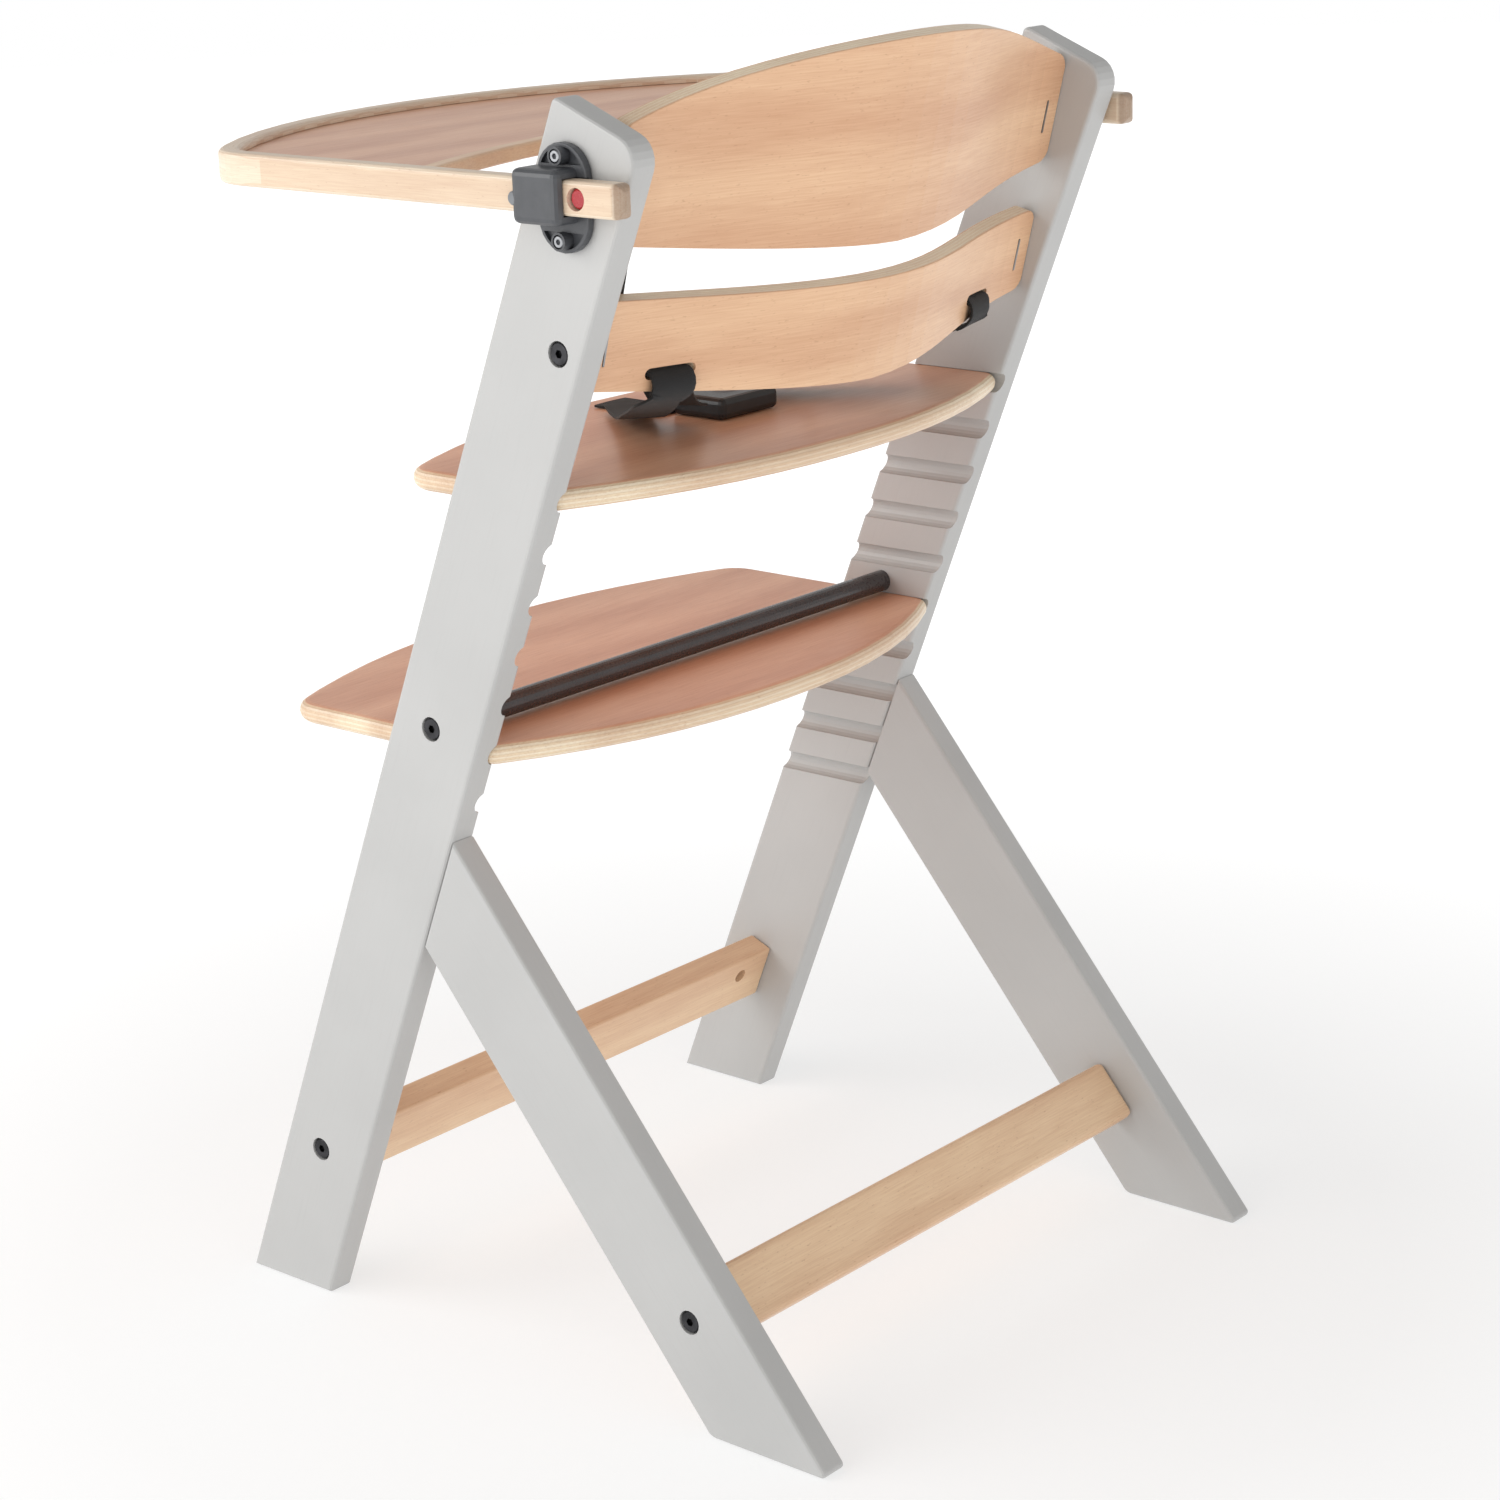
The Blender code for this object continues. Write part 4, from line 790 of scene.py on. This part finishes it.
def place_camera():
    """The camera stands behind the chair's left side, a little above the tray."""
    azimuth, elevation, roll = (math.radians(angle) for angle in CAMERA_ANGLES)
    back = Vector((math.sin(azimuth) * math.cos(elevation),
                   -math.cos(azimuth) * math.cos(elevation), math.sin(elevation)))
    level_right = Vector((0, 0, 1)).cross(back).normalized()
    level_up = back.cross(level_right)
    right = math.cos(roll) * level_right + math.sin(roll) * level_up
    up = -math.sin(roll) * level_right + math.cos(roll) * level_up
    lens = bpy.data.cameras.new("studio_camera")
    lens.lens = CAMERA_LENS
    lens.sensor_width = 36.0
    lens.clip_end = 50.0
    camera = bpy.data.objects.new("studio_camera", lens)
    bpy.context.scene.collection.objects.link(camera)
    turn = Matrix((right, up, back)).transposed().to_4x4()
    camera.matrix_world = Matrix.Translation(CAMERA_PLACE) @ turn
    bpy.context.scene.camera = camera


# ---------------------------------------------------------------- panel and registration

OPERATORS = (
    HIGHCHAIR_OT_paint_frames,
    HIGHCHAIR_OT_lacquer_beech,
    HIGHCHAIR_OT_face_plywood,
    HIGHCHAIR_OT_finish_steel,
    HIGHCHAIR_OT_finish_plastic,
    HIGHCHAIR_OT_make_harness,
    HIGHCHAIR_OT_make_springs,
    HIGHCHAIR_OT_build_studio,
)


class HIGHCHAIR_PT_workshop(bpy.types.Panel):
    """Settings and steps of the high chair."""
    bl_idname = "HIGHCHAIR_PT_workshop"
    bl_label = "High Chair"
    bl_space_type = "VIEW_3D"
    bl_region_type = "UI"
    bl_category = "High Chair"

    def draw(self, context):
        scene = context.scene
        for group in (scene.high_chair_finishes, scene.high_chair_harness, scene.high_chair_studio):
            box = self.layout.box()
            for name in group.bl_rna.properties.keys():
                if name not in ("rna_type", "name"):
                    box.prop(group, name)
        for operator in OPERATORS:
            self.layout.operator(operator.bl_idname)


GROUPS = (HighChairFinishes, HighChairHarness, HighChairStudio)
CLASSES = (*GROUPS, *OPERATORS, HIGHCHAIR_PT_workshop)


def register():
    for cls in CLASSES:
        bpy.utils.register_class(cls)
    bpy.types.Scene.high_chair_finishes = PointerProperty(type=HighChairFinishes)
    bpy.types.Scene.high_chair_harness = PointerProperty(type=HighChairHarness)
    bpy.types.Scene.high_chair_studio = PointerProperty(type=HighChairStudio)


def unregister():
    del bpy.types.Scene.high_chair_finishes
    del bpy.types.Scene.high_chair_harness
    del bpy.types.Scene.high_chair_studio
    for cls in reversed(CLASSES):
        bpy.utils.unregister_class(cls)


def main():
    """Registers the add-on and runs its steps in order."""
    register()
    for operator in OPERATORS:
        group, name = operator.bl_idname.split(".")
        getattr(getattr(bpy.ops, group), name)()


if __name__ == "__main__":
    main()
